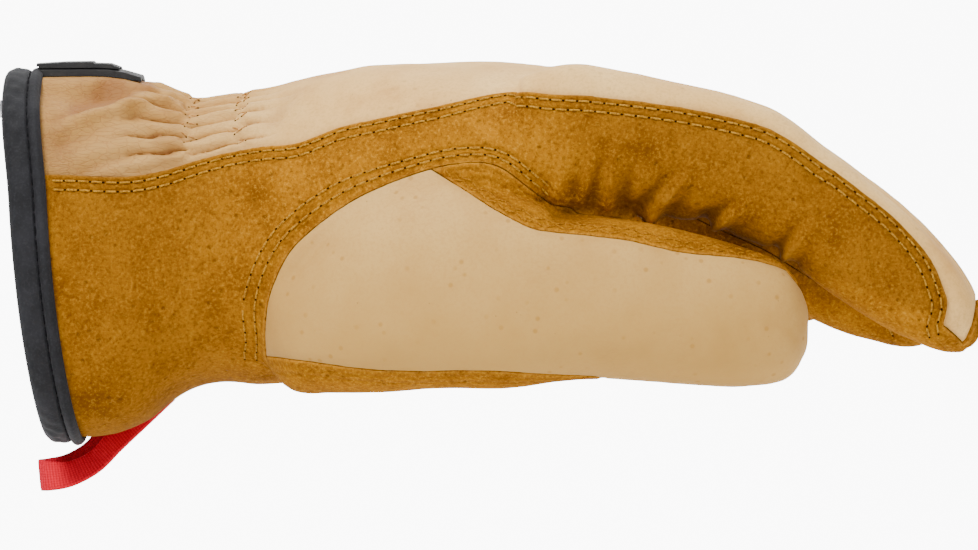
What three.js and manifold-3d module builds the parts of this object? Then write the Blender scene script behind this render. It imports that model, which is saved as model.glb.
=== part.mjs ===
// A left-hand leather work glove, held open as it sits on a hand, palm down.
// Millimetres. +X runs from the wrist to the fingertips, +Z is the back of the hand
// and -Y is the thumb side. The origin is the middle of the wrist opening.

import * as THREE from "three";
import { mergeVertices } from "three/addons/utils/BufferGeometryUtils.js";
import Module from "manifold-3d";

const wasm = await Module();
wasm.setup();

// Hand
const PALM_LENGTH = 152; // wrist opening to the crotches of the fingers
const HAND_HEIGHT = 87; // back to palm at the wrist opening
const HAND_WIDTH = 96; // across the knuckles
const LEATHER = 1.5; // thickness of the pale leather
const LAP_RISE = 0.8; // how far the tan leather stands proud where it laps a seam
const SEAM_GAP = 0.3; // clearance between neighbouring pieces

// Wrist opening: its edge leans, furthest forward under the palm
const MOUTH_SET_BACK = 2.8;
const MOUTH_LEAN = 10;

// Fingers
const FINGER_LENGTH = 125.5; // the index finger's, from its root inside the hand
const FINGER_PITCH = 24.6;
const FINGER_WIDTH = 22.6;
const FINGER_DEPTH = 38;
const FINGER_ROOT = 118; // where the fingers start inside the hand
const FINGER_LEVEL = 28.6; // height of the finger roots
const FOURCHETTE_REACH = 6.5; // how far a side strip reaches round each finger
const WEB_DEPTH = 3; // how far a side strip runs back past the crotch

// Seams across the hand, where the back and the palm are cut in shorter pieces
const CUFF_SEAM = 40;
const FINGER_SEAM = 128;

// Thumb
const THUMB_ROOT = 52;
const THUMB_LENGTH = 136;
const THUMB_HEIGHT = 52;
const THUMB_THICKNESS = 36;
const THUMB_SEAM_DEPTH = 24; // the thumb's seam in the palm, measured from the middle

// Wrist gathers on the back
const GATHER_CENTRE = 47;
const GATHER_LENGTH = 15.5;
const GATHER_PITCH = 5.2;
const GATHER_RISE = 1.3;
const FOLD_HEIGHT = 2;

// Edge binding of the wrist opening
const BINDING_WIDTH = 9.5;
const BINDING_THICKNESS = 1.3;
const BINDING_SWELL = 0.6; // how far the padded band and the rolled lip swell out
const BINDING_INNER_WIDTH = 7.5;

// Wrist tab and the plate on it
const TAB_START = 1.8;
const TAB_LENGTH = 24.7;
const TAB_WIDTH = 20;
const TAB_THICKNESS = 1.5;
const PLATE_LENGTH = 19.5;
const PLATE_WIDTH = 17;
const PLATE_THICKNESS = 1.4;
const PLATE_STEP = 0.4;
const PLATE_CHAMFER = 2;

// Webbing loop under the wrist
const LOOP_SIDE = 11; // its distance from the middle, away from the thumb
const LOOP_WIDTH = 8;
const LOOP_THICKNESS = 1.1;
const LOOP_SPREAD = 6.6;

// Label inside the opening
const LABEL_LENGTH = 16;
const LABEL_THICKNESS = 0.7;
const LABEL_SHOWS = 1;

// Sections of the hand. at: share of PALM_LENGTH. top, bottom and seam: shares of
// HAND_HEIGHT. near and far: shares of HAND_WIDTH. square: 2 is an ellipse, more is boxier.
// seam is the height of the lapped seam between the pale back and the tan palm.
const HAND = [
  { at: -0.03, top: 0.502, bottom: -0.497, near: -0.325, far: 0.325, square: 2.6, seam: 0.225 },
  { at: 0.05, top: 0.504, bottom: -0.510, near: -0.33, far: 0.33, square: 2.6, seam: 0.225 },
  { at: 0.145, top: 0.500, bottom: -0.482, near: -0.335, far: 0.335, square: 2.5, seam: 0.22 },
  { at: 0.208, top: 0.462, bottom: -0.420, near: -0.335, far: 0.335, square: 2.3, seam: 0.238 },
  { at: 0.250, top: 0.437, bottom: -0.388, near: -0.34, far: 0.34, square: 2.3, seam: 0.259 },
  { at: 0.300, top: 0.448, bottom: -0.362, near: -0.35, far: 0.355, square: 2.3, seam: 0.281 },
  { at: 0.362, top: 0.472, bottom: -0.362, near: -0.375, far: 0.385, square: 2.3, seam: 0.301 },
  { at: 0.426, top: 0.506, bottom: -0.350, near: -0.405, far: 0.415, square: 2.3, seam: 0.313 },
  { at: 0.490, top: 0.530, bottom: -0.285, near: -0.435, far: 0.440, square: 2.35, seam: 0.355 },
  { at: 0.540, top: 0.544, bottom: -0.235, near: -0.455, far: 0.460, square: 2.4, seam: 0.374 },
  { at: 0.635, top: 0.550, bottom: -0.130, near: -0.482, far: 0.480, square: 2.45, seam: 0.407 },
  { at: 0.748, top: 0.553, bottom: -0.020, near: -0.495, far: 0.492, square: 2.5, seam: 0.448 },
  { at: 0.845, top: 0.535, bottom: 0.065, near: -0.497, far: 0.494, square: 2.6, seam: 0.451 },
  { at: 0.941, top: 0.490, bottom: 0.110, near: -0.49, far: 0.488, square: 2.7, seam: 0.437 },
  { at: 1.000, top: 0.445, bottom: 0.150, near: -0.475, far: 0.472, square: 2.7, seam: 0.420 },
];

// Folds of the back behind the wrist tab, mirrored on the far side. at and long: shares of
// PALM_LENGTH. up and wide: shares of HAND_HEIGHT. rise: share of FOLD_HEIGHT. tilt: degrees.
const FOLDS = [
  { at: 0.125, up: 0.415, long: 0.100, wide: 0.034, rise: 0.85, tilt: 14 },
  { at: 0.110, up: 0.475, long: 0.075, wide: 0.036, rise: -0.95, tilt: 10 },
  { at: 0.186, up: 0.490, long: 0.028, wide: 0.040, rise: 0.70, tilt: 0 },
  { at: 0.225, up: 0.090, long: 0.070, wide: 0.060, rise: -0.35, tilt: -60 },
  { at: 0.400, up: -0.260, long: 0.060, wide: 0.050, rise: -0.30, tilt: 70 },
];

// One finger. at: share of its length. bend: share of its curl reached there.
// over, under: shares of FINGER_DEPTH. wide: share of FINGER_WIDTH.
// lap: height of the lapped seam, as a share of over. The dips of under are the creases.
const FINGER_ROWS = [
  { at: 0.000, bend: 0.00, over: 0.400, under: 0.360, wide: 0.90, lap: 0.56 },
  { at: 0.095, bend: 0.02, over: 0.492, under: 0.474, wide: 0.99, lap: 0.58 },
  { at: 0.190, bend: 0.06, over: 0.478, under: 0.455, wide: 1.00, lap: 0.61 },
  { at: 0.279, bend: 0.11, over: 0.453, under: 0.411, wide: 1.00, lap: 0.64 },
  { at: 0.367, bend: 0.23, over: 0.442, under: 0.376, wide: 1.00, lap: 0.66 },
  { at: 0.415, bend: 0.33, over: 0.440, under: 0.352, wide: 0.99, lap: 0.68 },
  { at: 0.462, bend: 0.45, over: 0.437, under: 0.371, wide: 0.99, lap: 0.70 },
  { at: 0.558, bend: 0.61, over: 0.372, under: 0.345, wide: 0.97, lap: 0.72 },
  { at: 0.605, bend: 0.67, over: 0.357, under: 0.330, wide: 0.96, lap: 0.73 },
  { at: 0.653, bend: 0.73, over: 0.343, under: 0.345, wide: 0.95, lap: 0.73 },
  { at: 0.749, bend: 0.80, over: 0.330, under: 0.352, wide: 0.92, lap: 0.72 },
  { at: 0.845, bend: 0.86, over: 0.295, under: 0.306, wide: 0.86, lap: 0.58 },
  { at: 0.932, bend: 0.95, over: 0.230, under: 0.216, wide: 0.72, lap: 0.10 },
  { at: 0.975, bend: 0.98, over: 0.155, under: 0.145, wide: 0.50, lap: -0.60 },
  { at: 1.000, bend: 1.00, over: 0.060, under: 0.060, wide: 0.22, lap: -1.20 },
];

// The four fingers. place: pitches from the middle. long: share of FINGER_LENGTH. knuckle,
// curl: degrees. rise: height above the index finger, a share of FINGER_DEPTH.
const FINGERS = [
  { name: "index", place: -1.5, long: 1.000, knuckle: 4, curl: 44, rise: 0 },
  { name: "middle", place: -0.5, long: 1.012, knuckle: 4, curl: 42.5, rise: 0.032 },
  { name: "ring", place: 0.5, long: 0.920, knuckle: 14, curl: 23, rise: -0.011 },
  { name: "little", place: 1.5, long: 0.717, knuckle: 15, curl: 26, rise: -0.040 },
];

// Sections of the thumb. at: share of THUMB_LENGTH. mid: centre height, a share of
// HAND_HEIGHT. tall: share of THUMB_HEIGHT. side: centre, a share of HAND_WIDTH.
// thick: share of THUMB_THICKNESS. pale_top and pale_bottom bound the pale panel on the
// thumb's outer face, as shares of half the section's height.
const THUMB = [
  { at: 0.000, mid: -0.080, tall: 0.50, side: -0.190, thick: 0.55, pale_top: 0.97, pale_bottom: -0.50 },
  { at: 0.073, mid: -0.193, tall: 0.58, side: -0.234, thick: 0.97, pale_top: 0.97, pale_bottom: -0.54 },
  { at: 0.146, mid: -0.144, tall: 0.79, side: -0.294, thick: 1.01, pale_top: 0.97, pale_bottom: -0.66 },
  { at: 0.234, mid: -0.097, tall: 0.94, side: -0.346, thick: 1.01, pale_top: 0.97, pale_bottom: -0.78 },
  { at: 0.328, mid: -0.067, tall: 1.00, side: -0.383, thick: 0.99, pale_top: 0.98, pale_bottom: -0.84 },
  { at: 0.409, mid: -0.082, tall: 0.95, side: -0.409, thick: 0.96, pale_top: 0.82, pale_bottom: -0.85 },
  { at: 0.482, mid: -0.099, tall: 0.88, side: -0.427, thick: 0.92, pale_top: 0.70, pale_bottom: -0.88 },
  { at: 0.555, mid: -0.114, tall: 0.78, side: -0.438, thick: 0.86, pale_top: 0.73, pale_bottom: -0.95 },
  { at: 0.642, mid: -0.120, tall: 0.73, side: -0.440, thick: 0.82, pale_top: 0.75, pale_bottom: -1.10 },
  { at: 0.730, mid: -0.136, tall: 0.715, side: -0.438, thick: 0.78, pale_top: 0.72, pale_bottom: -1.20 },
  { at: 0.818, mid: -0.157, tall: 0.67, side: -0.430, thick: 0.74, pale_top: 0.78, pale_bottom: -1.20 },
  { at: 0.891, mid: -0.176, tall: 0.61, side: -0.422, thick: 0.68, pale_top: 0.88, pale_bottom: -1.20 },
  { at: 0.945, mid: -0.189, tall: 0.545, side: -0.412, thick: 0.60, pale_top: 1.05, pale_bottom: -1.20 },
  { at: 0.978, mid: -0.200, tall: 0.42, side: -0.405, thick: 0.45, pale_top: 1.20, pale_bottom: -1.20 },
  { at: 1.000, mid: -0.208, tall: 0.18, side: -0.400, thick: 0.20, pale_top: 1.30, pale_bottom: -1.30 },
];

// Edge of the opening that the thumb is set into, from under the palm round to the crotch.
// at: share of PALM_LENGTH. up: share of HAND_HEIGHT.
const THUMB_OPENING = [
  { at: 0.403, up: -0.480 },
  { at: 0.403, up: -0.377 },
  { at: 0.388, up: -0.362 },
  { at: 0.373, up: -0.300 },
  { at: 0.371, up: -0.189 },
  { at: 0.379, up: -0.110 },
  { at: 0.403, up: -0.014 },
  { at: 0.434, up: 0.051 },
  { at: 0.500, up: 0.138 },
  { at: 0.564, up: 0.194 },
  { at: 0.638, up: 0.239 },
  { at: 0.693, up: 0.256 },
  { at: 0.743, up: 0.248 },
  { at: 0.793, up: 0.189 },
  { at: 0.824, up: 0.146 },
];

// Middle line of the webbing loop, from its root inside the cuff to its fold.
// at: share of PALM_LENGTH. up: share of HAND_HEIGHT. spread: share of LOOP_SPREAD.
const LOOP_ROWS = [
  { at: 0.205, up: -0.365, spread: 0.0 },
  { at: 0.161, up: -0.437, spread: 0.0 },
  { at: 0.132, up: -0.484, spread: 0.3 },
  { at: 0.103, up: -0.532, spread: 0.7 },
  { at: 0.074, up: -0.583, spread: 0.95 },
  { at: 0.042, up: -0.611, spread: 1.0 },
  { at: 0.020, up: -0.617, spread: 0.75 },
  { at: 0.012, up: -0.619, spread: 0.0 },
];

// Mesh steps
const HAND_SIDES = 26;
const HAND_STEPS = 16;
const FINGER_SIDES = 12;
const PLAIN_SIDES = 10; // of the three fingers behind the index finger
const THUMB_SIDES = 18;
const MOUTH_STEPS = 2; // under the binding, where the leather follows it closely
const HOLLOW_STEPS = 8; // the hand's hollow is smooth, so it needs fewer steps
const INNER_SIDES = 8;
const PUFF_SIDES = 8;
const CUT_STEPS = 10;
const FAR_AWAY = 200; // reach of a cutter that runs clear of the glove

// Value of one column of a table at a share of its length, a cubic through the rows.
function column(rows, name, share) {
  const last = rows.length - 1;
  const at = THREE.MathUtils.clamp(share, rows[0].at, rows[last].at);
  let i = 0;
  while (i < last - 1 && at > rows[i + 1].at) i++;
  const slope = (k) => {
    const before = rows[Math.max(k - 1, 0)];
    const after = rows[Math.min(k + 1, last)];
    return (after[name] - before[name]) / (after.at - before.at);
  };
  const span = rows[i + 1].at - rows[i].at;
  const t = (at - rows[i].at) / span;
  const start = rows[i][name] * (1 + 2 * t) * (1 - t) ** 2 + slope(i) * span * t * (1 - t) ** 2;
  const end = rows[i + 1][name] * t * t * (3 - 2 * t) + slope(i + 1) * span * t * t * (t - 1);
  return start + end;
}

// Turns a closed geometry into a solid that can be joined and cut.
function solid(geometry) {
  geometry.deleteAttribute("normal");
  geometry.deleteAttribute("uv");
  const merged = mergeVertices(geometry, 1e-4);
  return new wasm.Manifold(
    new wasm.Mesh({
      numProp: 3,
      vertProperties: new Float32Array(merged.attributes.position.array),
      triVerts: new Uint32Array(merged.index.array),
    }),
  );
}

// A closed skin over rings that hold as many points each. joined: the last ring meets the
// first again. Otherwise the two end rings are capped round their middles.
function skin(rings, joined = false) {
  const sides = rings[0].length;
  const points = rings.flat();
  const faces = [];
  const count = joined ? rings.length : rings.length - 1;
  for (let i = 0; i < count; i++) {
    const here = i * sides;
    const next = ((i + 1) % rings.length) * sides;
    for (let k = 0; k < sides; k++) {
      const turn = (k + 1) % sides;
      faces.push(here + k, here + turn, next + turn, here + k, next + turn, next + k);
    }
  }
  if (!joined) {
    [0, rings.length - 1].forEach((i) => {
      const middle = points.length;
      const sum = rings[i].reduce((total, point) => total.add(point), new THREE.Vector3());
      points.push(sum.divideScalar(sides));
      for (let k = 0; k < sides; k++) {
        const pair = [i * sides + k, i * sides + ((k + 1) % sides)];
        faces.push(middle, ...(i ? pair : pair.reverse()));
      }
    });
  }
  const geometry = new THREE.BufferGeometry().setFromPoints(points).setIndex(faces);
  const made = solid(geometry);
  if (made.volume() > 0) return made;
  for (let f = 0; f < faces.length; f += 3) [faces[f + 1], faces[f + 2]] = [faces[f + 2], faces[f + 1]];
  return solid(geometry.setIndex(faces));
}

// Shares from one end to the other, both included.
const shares = (steps, from = 0, to = 1) =>
  Array.from({ length: steps + 1 }, (_, i) => from + ((to - from) * i) / steps);

const join = (solids) => solids.reduce((sum, next) => sum.add(next));

// A point of a superellipse of half sizes one, by its angle.
function roundedPoint(angle, square) {
  const bulge = (value) => Math.sign(value) * Math.abs(value) ** (2 / square);
  return [bulge(Math.cos(angle)), bulge(Math.sin(angle))];
}

// How far the wrist opening's edge lies along X at a height of the hand.
function mouthLean(height, at) {
  const down = THREE.MathUtils.clamp(0.5 - height / HAND_HEIGHT, 0, 1);
  const fade = 1 - THREE.MathUtils.smoothstep(at, 0, 0.36);
  return fade * (MOUTH_LEAN * down ** 2.2 - MOUTH_SET_BACK);
}

// Rise of the folds at a place on the side of the hand.
function foldRise(at, height) {
  return FOLDS.reduce((rise, fold) => {
    const along = (at - fold.at) * PALM_LENGTH;
    const up = height - fold.up * HAND_HEIGHT;
    const tilt = THREE.MathUtils.degToRad(fold.tilt);
    const u = (along * Math.cos(tilt) + up * Math.sin(tilt)) / (fold.long * PALM_LENGTH);
    const v = (up * Math.cos(tilt) - along * Math.sin(tilt)) / (fold.wide * HAND_HEIGHT);
    return rise + fold.rise * FOLD_HEIGHT * Math.exp(-u * u - v * v);
  }, 0);
}

// Half sizes and middle of the hand's section.
function handSection(at) {
  const [top, bottom] = ["top", "bottom"].map((name) => column(HAND, name, at) * HAND_HEIGHT);
  const [near, far] = ["near", "far"].map((name) => column(HAND, name, at) * HAND_WIDTH);
  return {
    side: (near + far) / 2,
    mid: (top + bottom) / 2,
    wide: (far - near) / 2,
    tall: (top - bottom) / 2,
    square: column(HAND, "square", at),
  };
}

// A point on the hand's skin, or `outset` outside it, by its angle round the section.
function handPoint(at, angle, outset) {
  const part = handSection(at);
  const [across, up] = roundedPoint(angle, part.square);
  const height = part.mid + up * part.tall;
  const swell = outset + foldRise(at, height);
  return new THREE.Vector3(
    at * PALM_LENGTH + mouthLean(height, at),
    part.side + across * (part.wide + swell),
    part.mid + up * (part.tall + swell),
  );
}

const handRing = (at, outset, sides) =>
  shares(sides).slice(0, sides).map((turn) => handPoint(at, turn * 2 * Math.PI, outset));

// Height of the back of the hand over a place.
function backHeight(at, y) {
  const part = handSection(at);
  const across = Math.abs((y - part.side) / part.wide) ** part.square;
  return part.mid + part.tall * (1 - across) ** (1 / part.square);
}

// Start of the leather at the wrist opening, inside the fold of the binding.
const LEATHER_EDGE = (BINDING_THICKNESS + 2 * SEAM_GAP - BINDING_WIDTH / 2) / PALM_LENGTH;

// The hand as a solid, grown by outset. The inner one starts outside the mouth and opens it.
function handSolid(outset, steps = HAND_STEPS, start = []) {
  const mouth = shares(MOUTH_STEPS, LEATHER_EDGE, (BINDING_WIDTH / 2 + SEAM_GAP) / PALM_LENGTH);
  const stations = [...start, ...mouth, ...shares(steps, 0.06, 1 + outset / PALM_LENGTH)];
  return skin(stations.map((at) => handRing(at, outset, HAND_SIDES)));
}

// Middle line of a finger: place and slope at shares of its length.
function fingerSpine(finger) {
  const steps = 60;
  const points = [];
  let x = FINGER_ROOT;
  let z = FINGER_LEVEL + finger.rise * FINGER_DEPTH;
  for (let i = 0; i <= steps; i++) {
    const bend = finger.knuckle + finger.curl * column(FINGER_ROWS, "bend", i / steps);
    const slope = -THREE.MathUtils.degToRad(bend);
    points.push({ at: i / steps, x, z, slope });
    x += (Math.cos(slope) * finger.length) / steps;
    z += (Math.sin(slope) * finger.length) / steps;
  }
  return points;
}

// Every second row of a table, with its last one, for a digit that needs fewer sections.
const everySecond = (rows) => rows.filter((_, i) => i % 2 === 0 || i === rows.length - 1);

// The index finger, which lies open to view, takes every row.
FINGERS.forEach((finger, i) => {
  finger.length = finger.long * FINGER_LENGTH;
  finger.spine = fingerSpine(finger);
  finger.side = finger.place * FINGER_PITCH;
  finger.rows = i === 0 ? FINGER_ROWS : everySecond(FINGER_ROWS);
  finger.sides = i === 0 ? FINGER_SIDES : PLAIN_SIDES;
});

// A point beside a finger's middle line: `over` towards its back, `side` across.
function fingerPoint(finger, at, side, over) {
  const [x, z, slope] = ["x", "z", "slope"].map((name) => column(finger.spine, name, at));
  const run = Math.max(at - 1, 0) * finger.length;
  return new THREE.Vector3(
    x + run * Math.cos(slope) - over * Math.sin(slope),
    side,
    z + run * Math.sin(slope) + over * Math.cos(slope),
  );
}

// One finger as a solid, grown by outset, which also moves its tip.
function fingerSolid(finger, outset, sides, rows) {
  const rings = rows.map((row) => {
    const wide = (row.wide * FINGER_WIDTH) / 2 + outset;
    const at = row.at + (row.at > 0.9 ? outset / finger.length : 0);
    return shares(sides).slice(0, sides).map((turn) => {
      const [across, up] = roundedPoint(turn * 2 * Math.PI, 2.4);
      const depth = (up > 0 ? row.over : row.under) * FINGER_DEPTH + outset;
      return fingerPoint(finger, at, finger.side + across * wide, up * depth);
    });
  });
  return skin(rings);
}

// Section and solid of the thumb.
function thumbSection(at) {
  return {
    x: THUMB_ROOT + at * THUMB_LENGTH,
    mid: column(THUMB, "mid", at) * HAND_HEIGHT,
    tall: (column(THUMB, "tall", at) * THUMB_HEIGHT) / 2,
    side: column(THUMB, "side", at) * HAND_WIDTH,
    thick: (column(THUMB, "thick", at) * THUMB_THICKNESS) / 2,
  };
}

function thumbSolid(outset, sides, rows = THUMB) {
  const rings = rows.map((row) => {
    const part = thumbSection(row.at);
    const x = part.x + (row.at > 0.9 ? outset : 0);
    return shares(sides).slice(0, sides).map((turn) => {
      const [across, up] = roundedPoint(turn * 2 * Math.PI, 2.5);
      const y = part.side + across * (part.thick + outset);
      return new THREE.Vector3(x, y, part.mid + up * (part.tall + outset));
    });
  });
  return skin(rings);
}

// The whole glove's outside, grown by outset, and its one hollow.
const gloveSolid = (outset) =>
  join([
    handSolid(outset),
    thumbSolid(outset, THUMB_SIDES),
    ...FINGERS.map((finger) => fingerSolid(finger, outset, finger.sides, finger.rows)),
  ]);

const HOLLOW_START = -0.15; // outside the mouth, as a share of PALM_LENGTH
const hollow = join([
  handSolid(-LEATHER, HOLLOW_STEPS, [HOLLOW_START]),
  thumbSolid(-LEATHER, INNER_SIDES + 2, everySecond(THUMB)),
  ...FINGERS.map((finger) => fingerSolid(finger, -LEATHER, INNER_SIDES, everySecond(FINGER_ROWS))),
]);

// Puffs of the gathered wrist: a row of lens shapes across the back, from seam to seam.
function gathers() {
  const at = GATHER_CENTRE / PALM_LENGTH;
  const part = handSection(at);
  const low = column(HAND, "seam", at) * HAND_HEIGHT;
  const samples = shares(200, 0, 1).map((turn) => handPoint(at, turn * Math.PI, 0));
  const back = samples.filter((point) => point.z > low + GATHER_PITCH / 2);
  const length = back.slice(1).reduce((sum, point, i) => sum + point.distanceTo(back[i]), 0);
  const count = Math.round(length / GATHER_PITCH);
  const curve = new THREE.CatmullRomCurve3(back);
  return shares(count).map((share, i) => {
    const point = curve.getPointAt(share);
    const across = (point.y - part.side) / part.wide ** 2;
    const outward = new THREE.Vector3(0, across, (point.z - part.mid) / part.tall ** 2).normalize();
    const puff = new THREE.SphereGeometry(1, PUFF_SIDES, 4);
    puff.scale(GATHER_LENGTH / 2, GATHER_PITCH * 0.47, GATHER_RISE * 2);
    puff.rotateZ(THREE.MathUtils.degToRad(i % 2 ? 6 : -4));
    const turn = new THREE.Quaternion().setFromUnitVectors(new THREE.Vector3(0, 0, 1), outward);
    puff.applyQuaternion(turn);
    const centre = point.addScaledVector(outward, -GATHER_RISE);
    puff.translate(centre.x, centre.y, centre.z);
    return solid(puff);
  });
}

const paleShell = join([gloveSolid(0), ...gathers()]).subtract(hollow);
const tanShell = gloveSolid(LAP_RISE).subtract(hollow);

// A cutter of rectangular sections: each ring runs round four corners.
const corners = (place, low, high, near, far) => [
  place(near, low),
  place(far, low),
  place(far, high),
  place(near, high),
];

// The region of the pale back, moved up by `shift`: over the seam of the hand, then over
// the lapped seam of each finger between its neighbours.
function backRegion(shift) {
  const overHand = skin(
    shares(CUT_STEPS, HOLLOW_START, FINGER_ROOT / PALM_LENGTH + 0.12).map((at) => {
      const low = column(HAND, "seam", at) * HAND_HEIGHT + shift;
      const place = (y, z) => new THREE.Vector3(at * PALM_LENGTH, y, z);
      return corners(place, low, FAR_AWAY, -FAR_AWAY, FAR_AWAY);
    }),
  );
  const overFingers = FINGERS.map((finger, i) => {
    const near = i === 0 ? -FAR_AWAY : finger.side - FINGER_PITCH / 2;
    const far = i === FINGERS.length - 1 ? FAR_AWAY : finger.side + FINGER_PITCH / 2;
    return skin(
      shares(CUT_STEPS, 0.06, 1.04).map((at) => {
        const row = (name) => column(FINGER_ROWS, name, at);
        const low = row("lap") * row("over") * FINGER_DEPTH + shift;
        const place = (y, over) => fingerPoint(finger, at, y, over);
        return corners(place, low, FINGER_DEPTH, near, far);
      }),
    );
  });
  return join([overHand, ...overFingers]);
}

// The region of one side strip, grown by `grow`, on both fingers beside a crotch.
function fourchetteRegion(index, grow) {
  const crotch = FINGERS[index].side + FINGER_PITCH / 2;
  const strips = [0, 1].map((other) => {
    const finger = FINGERS[index + other];
    const reach = (other ? 1 : -1) * (FOURCHETTE_REACH + grow);
    const start = (PALM_LENGTH - WEB_DEPTH - grow - FINGER_ROOT) / finger.length;
    const end = 0.93 + grow / finger.length;
    return skin(
      shares(8, start, end).map((at) => {
        const row = (name) => column(FINGER_ROWS, name, at);
        const low = -0.42 * row("under") * FINGER_DEPTH - grow;
        const high = Math.max(row("lap"), 0.1) * row("over") * FINGER_DEPTH + grow;
        const place = (y, over) => fingerPoint(finger, at, y, over);
        return corners(place, low, high, crotch + (other ? -0.5 : 0.5), crotch + reach);
      }),
    );
  });
  return join(strips);
}

// Moves each point of a line to its left by `distance`.
function besideLine(points, distance) {
  return points.map((point, i) => {
    const before = points[Math.max(i - 1, 0)];
    const after = points[Math.min(i + 1, points.length - 1)];
    const along = after.clone().sub(before).normalize();
    return point.clone().add(new THREE.Vector2(-along.y, along.x).multiplyScalar(distance));
  });
}

// The region of the thumb, grown by `grow`: inside its opening's edge and, past the crotch,
// under a line that clears the thumb's top.
function thumbRegion(grow) {
  const edge = new THREE.SplineCurve(
    THUMB_OPENING.map((row) => new THREE.Vector2(row.at * PALM_LENGTH, row.up * HAND_HEIGHT)),
  ).getPoints(2 * CUT_STEPS);
  const crotch = edge[edge.length - 1].x;
  const free = shares(5, (crotch - THUMB_ROOT) / THUMB_LENGTH + 0.06, 1.0).map((at) => {
    const part = thumbSection(at);
    return new THREE.Vector2(part.x, part.mid + part.tall + LAP_RISE + SEAM_GAP);
  });
  const end = THUMB_ROOT + THUMB_LENGTH + 2 * LEATHER;
  const line = besideLine([...edge, ...free], grow);
  line.push(new THREE.Vector2(end + grow, line[line.length - 1].y));
  line.push(new THREE.Vector2(end + grow, -FAR_AWAY / 2));
  line.push(new THREE.Vector2(line[0].x, -FAR_AWAY / 2));
  const cutter = new THREE.ExtrudeGeometry(new THREE.Shape(line), { depth: FAR_AWAY, bevelEnabled: false });
  cutter.rotateX(Math.PI / 2);
  cutter.translate(0, grow - THUMB_SEAM_DEPTH, 0);
  return solid(cutter);
}

// The region of the pale panel on the thumb's outer face, grown by `grow`.
function palePanelRegion(grow) {
  const start = -0.1;
  return skin(
    shares(CUT_STEPS, start, 1.05).map((at) => {
      const part = thumbSection(at);
      const low = part.mid + column(THUMB, "pale_bottom", at) * part.tall - grow;
      const edge = column(THUMB, "pale_top", at);
      const high = edge > 0.96 && at < 0.36 ? FAR_AWAY : part.mid + edge * part.tall + grow;
      const x = THUMB_ROOT + at * THUMB_LENGTH;
      const place = (y, z) => new THREE.Vector3(x, y, z);
      return corners(place, low, high, -FAR_AWAY, part.side + grow);
    }),
  );
}

// Leather pieces
const half = SEAM_GAP / 2;
const backAbove = backRegion(half);
const backBelow = backRegion(-half);
const thumbInside = thumbRegion(-half);
const thumbOutside = thumbRegion(half);

// The largest of the bodies that a cut leaves; the rest are crumbs of the cut.
function mainBody(cut) {
  const bodies = cut.decompose().sort((a, b) => b.volume() - a.volume());
  return bodies[0];
}

const backLeather = mainBody(paleShell.intersect(backAbove));
const fourchettes = () =>
  [0, 1, 2].map((index) => mainBody(tanShell.intersect(fourchetteRegion(index, -half)).subtract(backBelow)));
const palmLeather = mainBody(
  [0, 1, 2].reduce(
    (panel, index) => panel.subtract(fourchetteRegion(index, half)),
    tanShell.subtract(backBelow).subtract(thumbOutside),
  ),
);
const thumbBack = () => mainBody(paleShell.intersect(thumbInside).intersect(palePanelRegion(-half)));
const thumbFront = () => mainBody(tanShell.intersect(thumbInside).subtract(palePanelRegion(half)));

// A block that runs from one X to another and from one Y to another.
function block(from, to, near, far) {
  const geometry = new THREE.BoxGeometry(to - from, far - near, 2 * FAR_AWAY);
  geometry.translate((from + to) / 2, (near + far) / 2, 0);
  return solid(geometry);
}

// The back and the palm are each cut across in a cuff, a middle and four fingers.
const cuffOf = (leather) => mainBody(leather.intersect(block(-FAR_AWAY, CUFF_SEAM - half, -FAR_AWAY, FAR_AWAY)));
const middleOf = (leather) =>
  mainBody(leather.intersect(block(CUFF_SEAM + half, FINGER_SEAM - half, -FAR_AWAY, FAR_AWAY)));
const fingersOf = (leather) =>
  FINGERS.map((finger, i) => {
    const near = i === 0 ? -FAR_AWAY : finger.side - FINGER_PITCH / 2 + half;
    const far = i === FINGERS.length - 1 ? FAR_AWAY : finger.side + FINGER_PITCH / 2 - half;
    return mainBody(leather.intersect(block(FINGER_SEAM + half, 2 * FAR_AWAY, near, far)));
  });

// The binding folds round the leather's edge: a padded band outside, a stitched groove, a
// rolled lip, and a flat leg inside. Each section point is an x and an outset of the hand.
function cuffBinding() {
  const left = -BINDING_WIDTH / 2;
  const outside = LAP_RISE + SEAM_GAP;
  const face = outside + BINDING_THICKNESS;
  const inside = -LEATHER - SEAM_GAP;
  const groove = left + BINDING_WIDTH * 0.66;
  const lip = left + BINDING_WIDTH;
  const slot = left + BINDING_THICKNESS;
  const innerEnd = left + BINDING_INNER_WIDTH;
  const section = [
    [left, 0],
    [left + 0.3 * BINDING_THICKNESS, face - BINDING_THICKNESS * 0.6],
    [left + BINDING_THICKNESS, face + BINDING_SWELL * 0.3],
    [(left + groove) / 2, face + BINDING_SWELL],
    [groove - BINDING_SWELL, face + BINDING_SWELL * 0.2],
    [groove, face - BINDING_SWELL],
    [groove + BINDING_SWELL, face + BINDING_SWELL * 0.4],
    [(groove + BINDING_SWELL + lip) / 2, face + BINDING_SWELL],
    [lip, face - BINDING_SWELL * 0.6],
    [lip - 0.1 * BINDING_THICKNESS, outside],
    [slot, outside],
    [slot, inside],
    [innerEnd, inside],
    [innerEnd, inside - BINDING_THICKNESS],
    [left + BINDING_THICKNESS, inside - BINDING_THICKNESS],
    [left + 0.3 * BINDING_THICKNESS, inside - 0.4 * BINDING_THICKNESS],
  ];
  return skin(section.map(([x, outset]) => handRing(x / PALM_LENGTH, outset, HAND_SIDES)), true);
}

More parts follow.
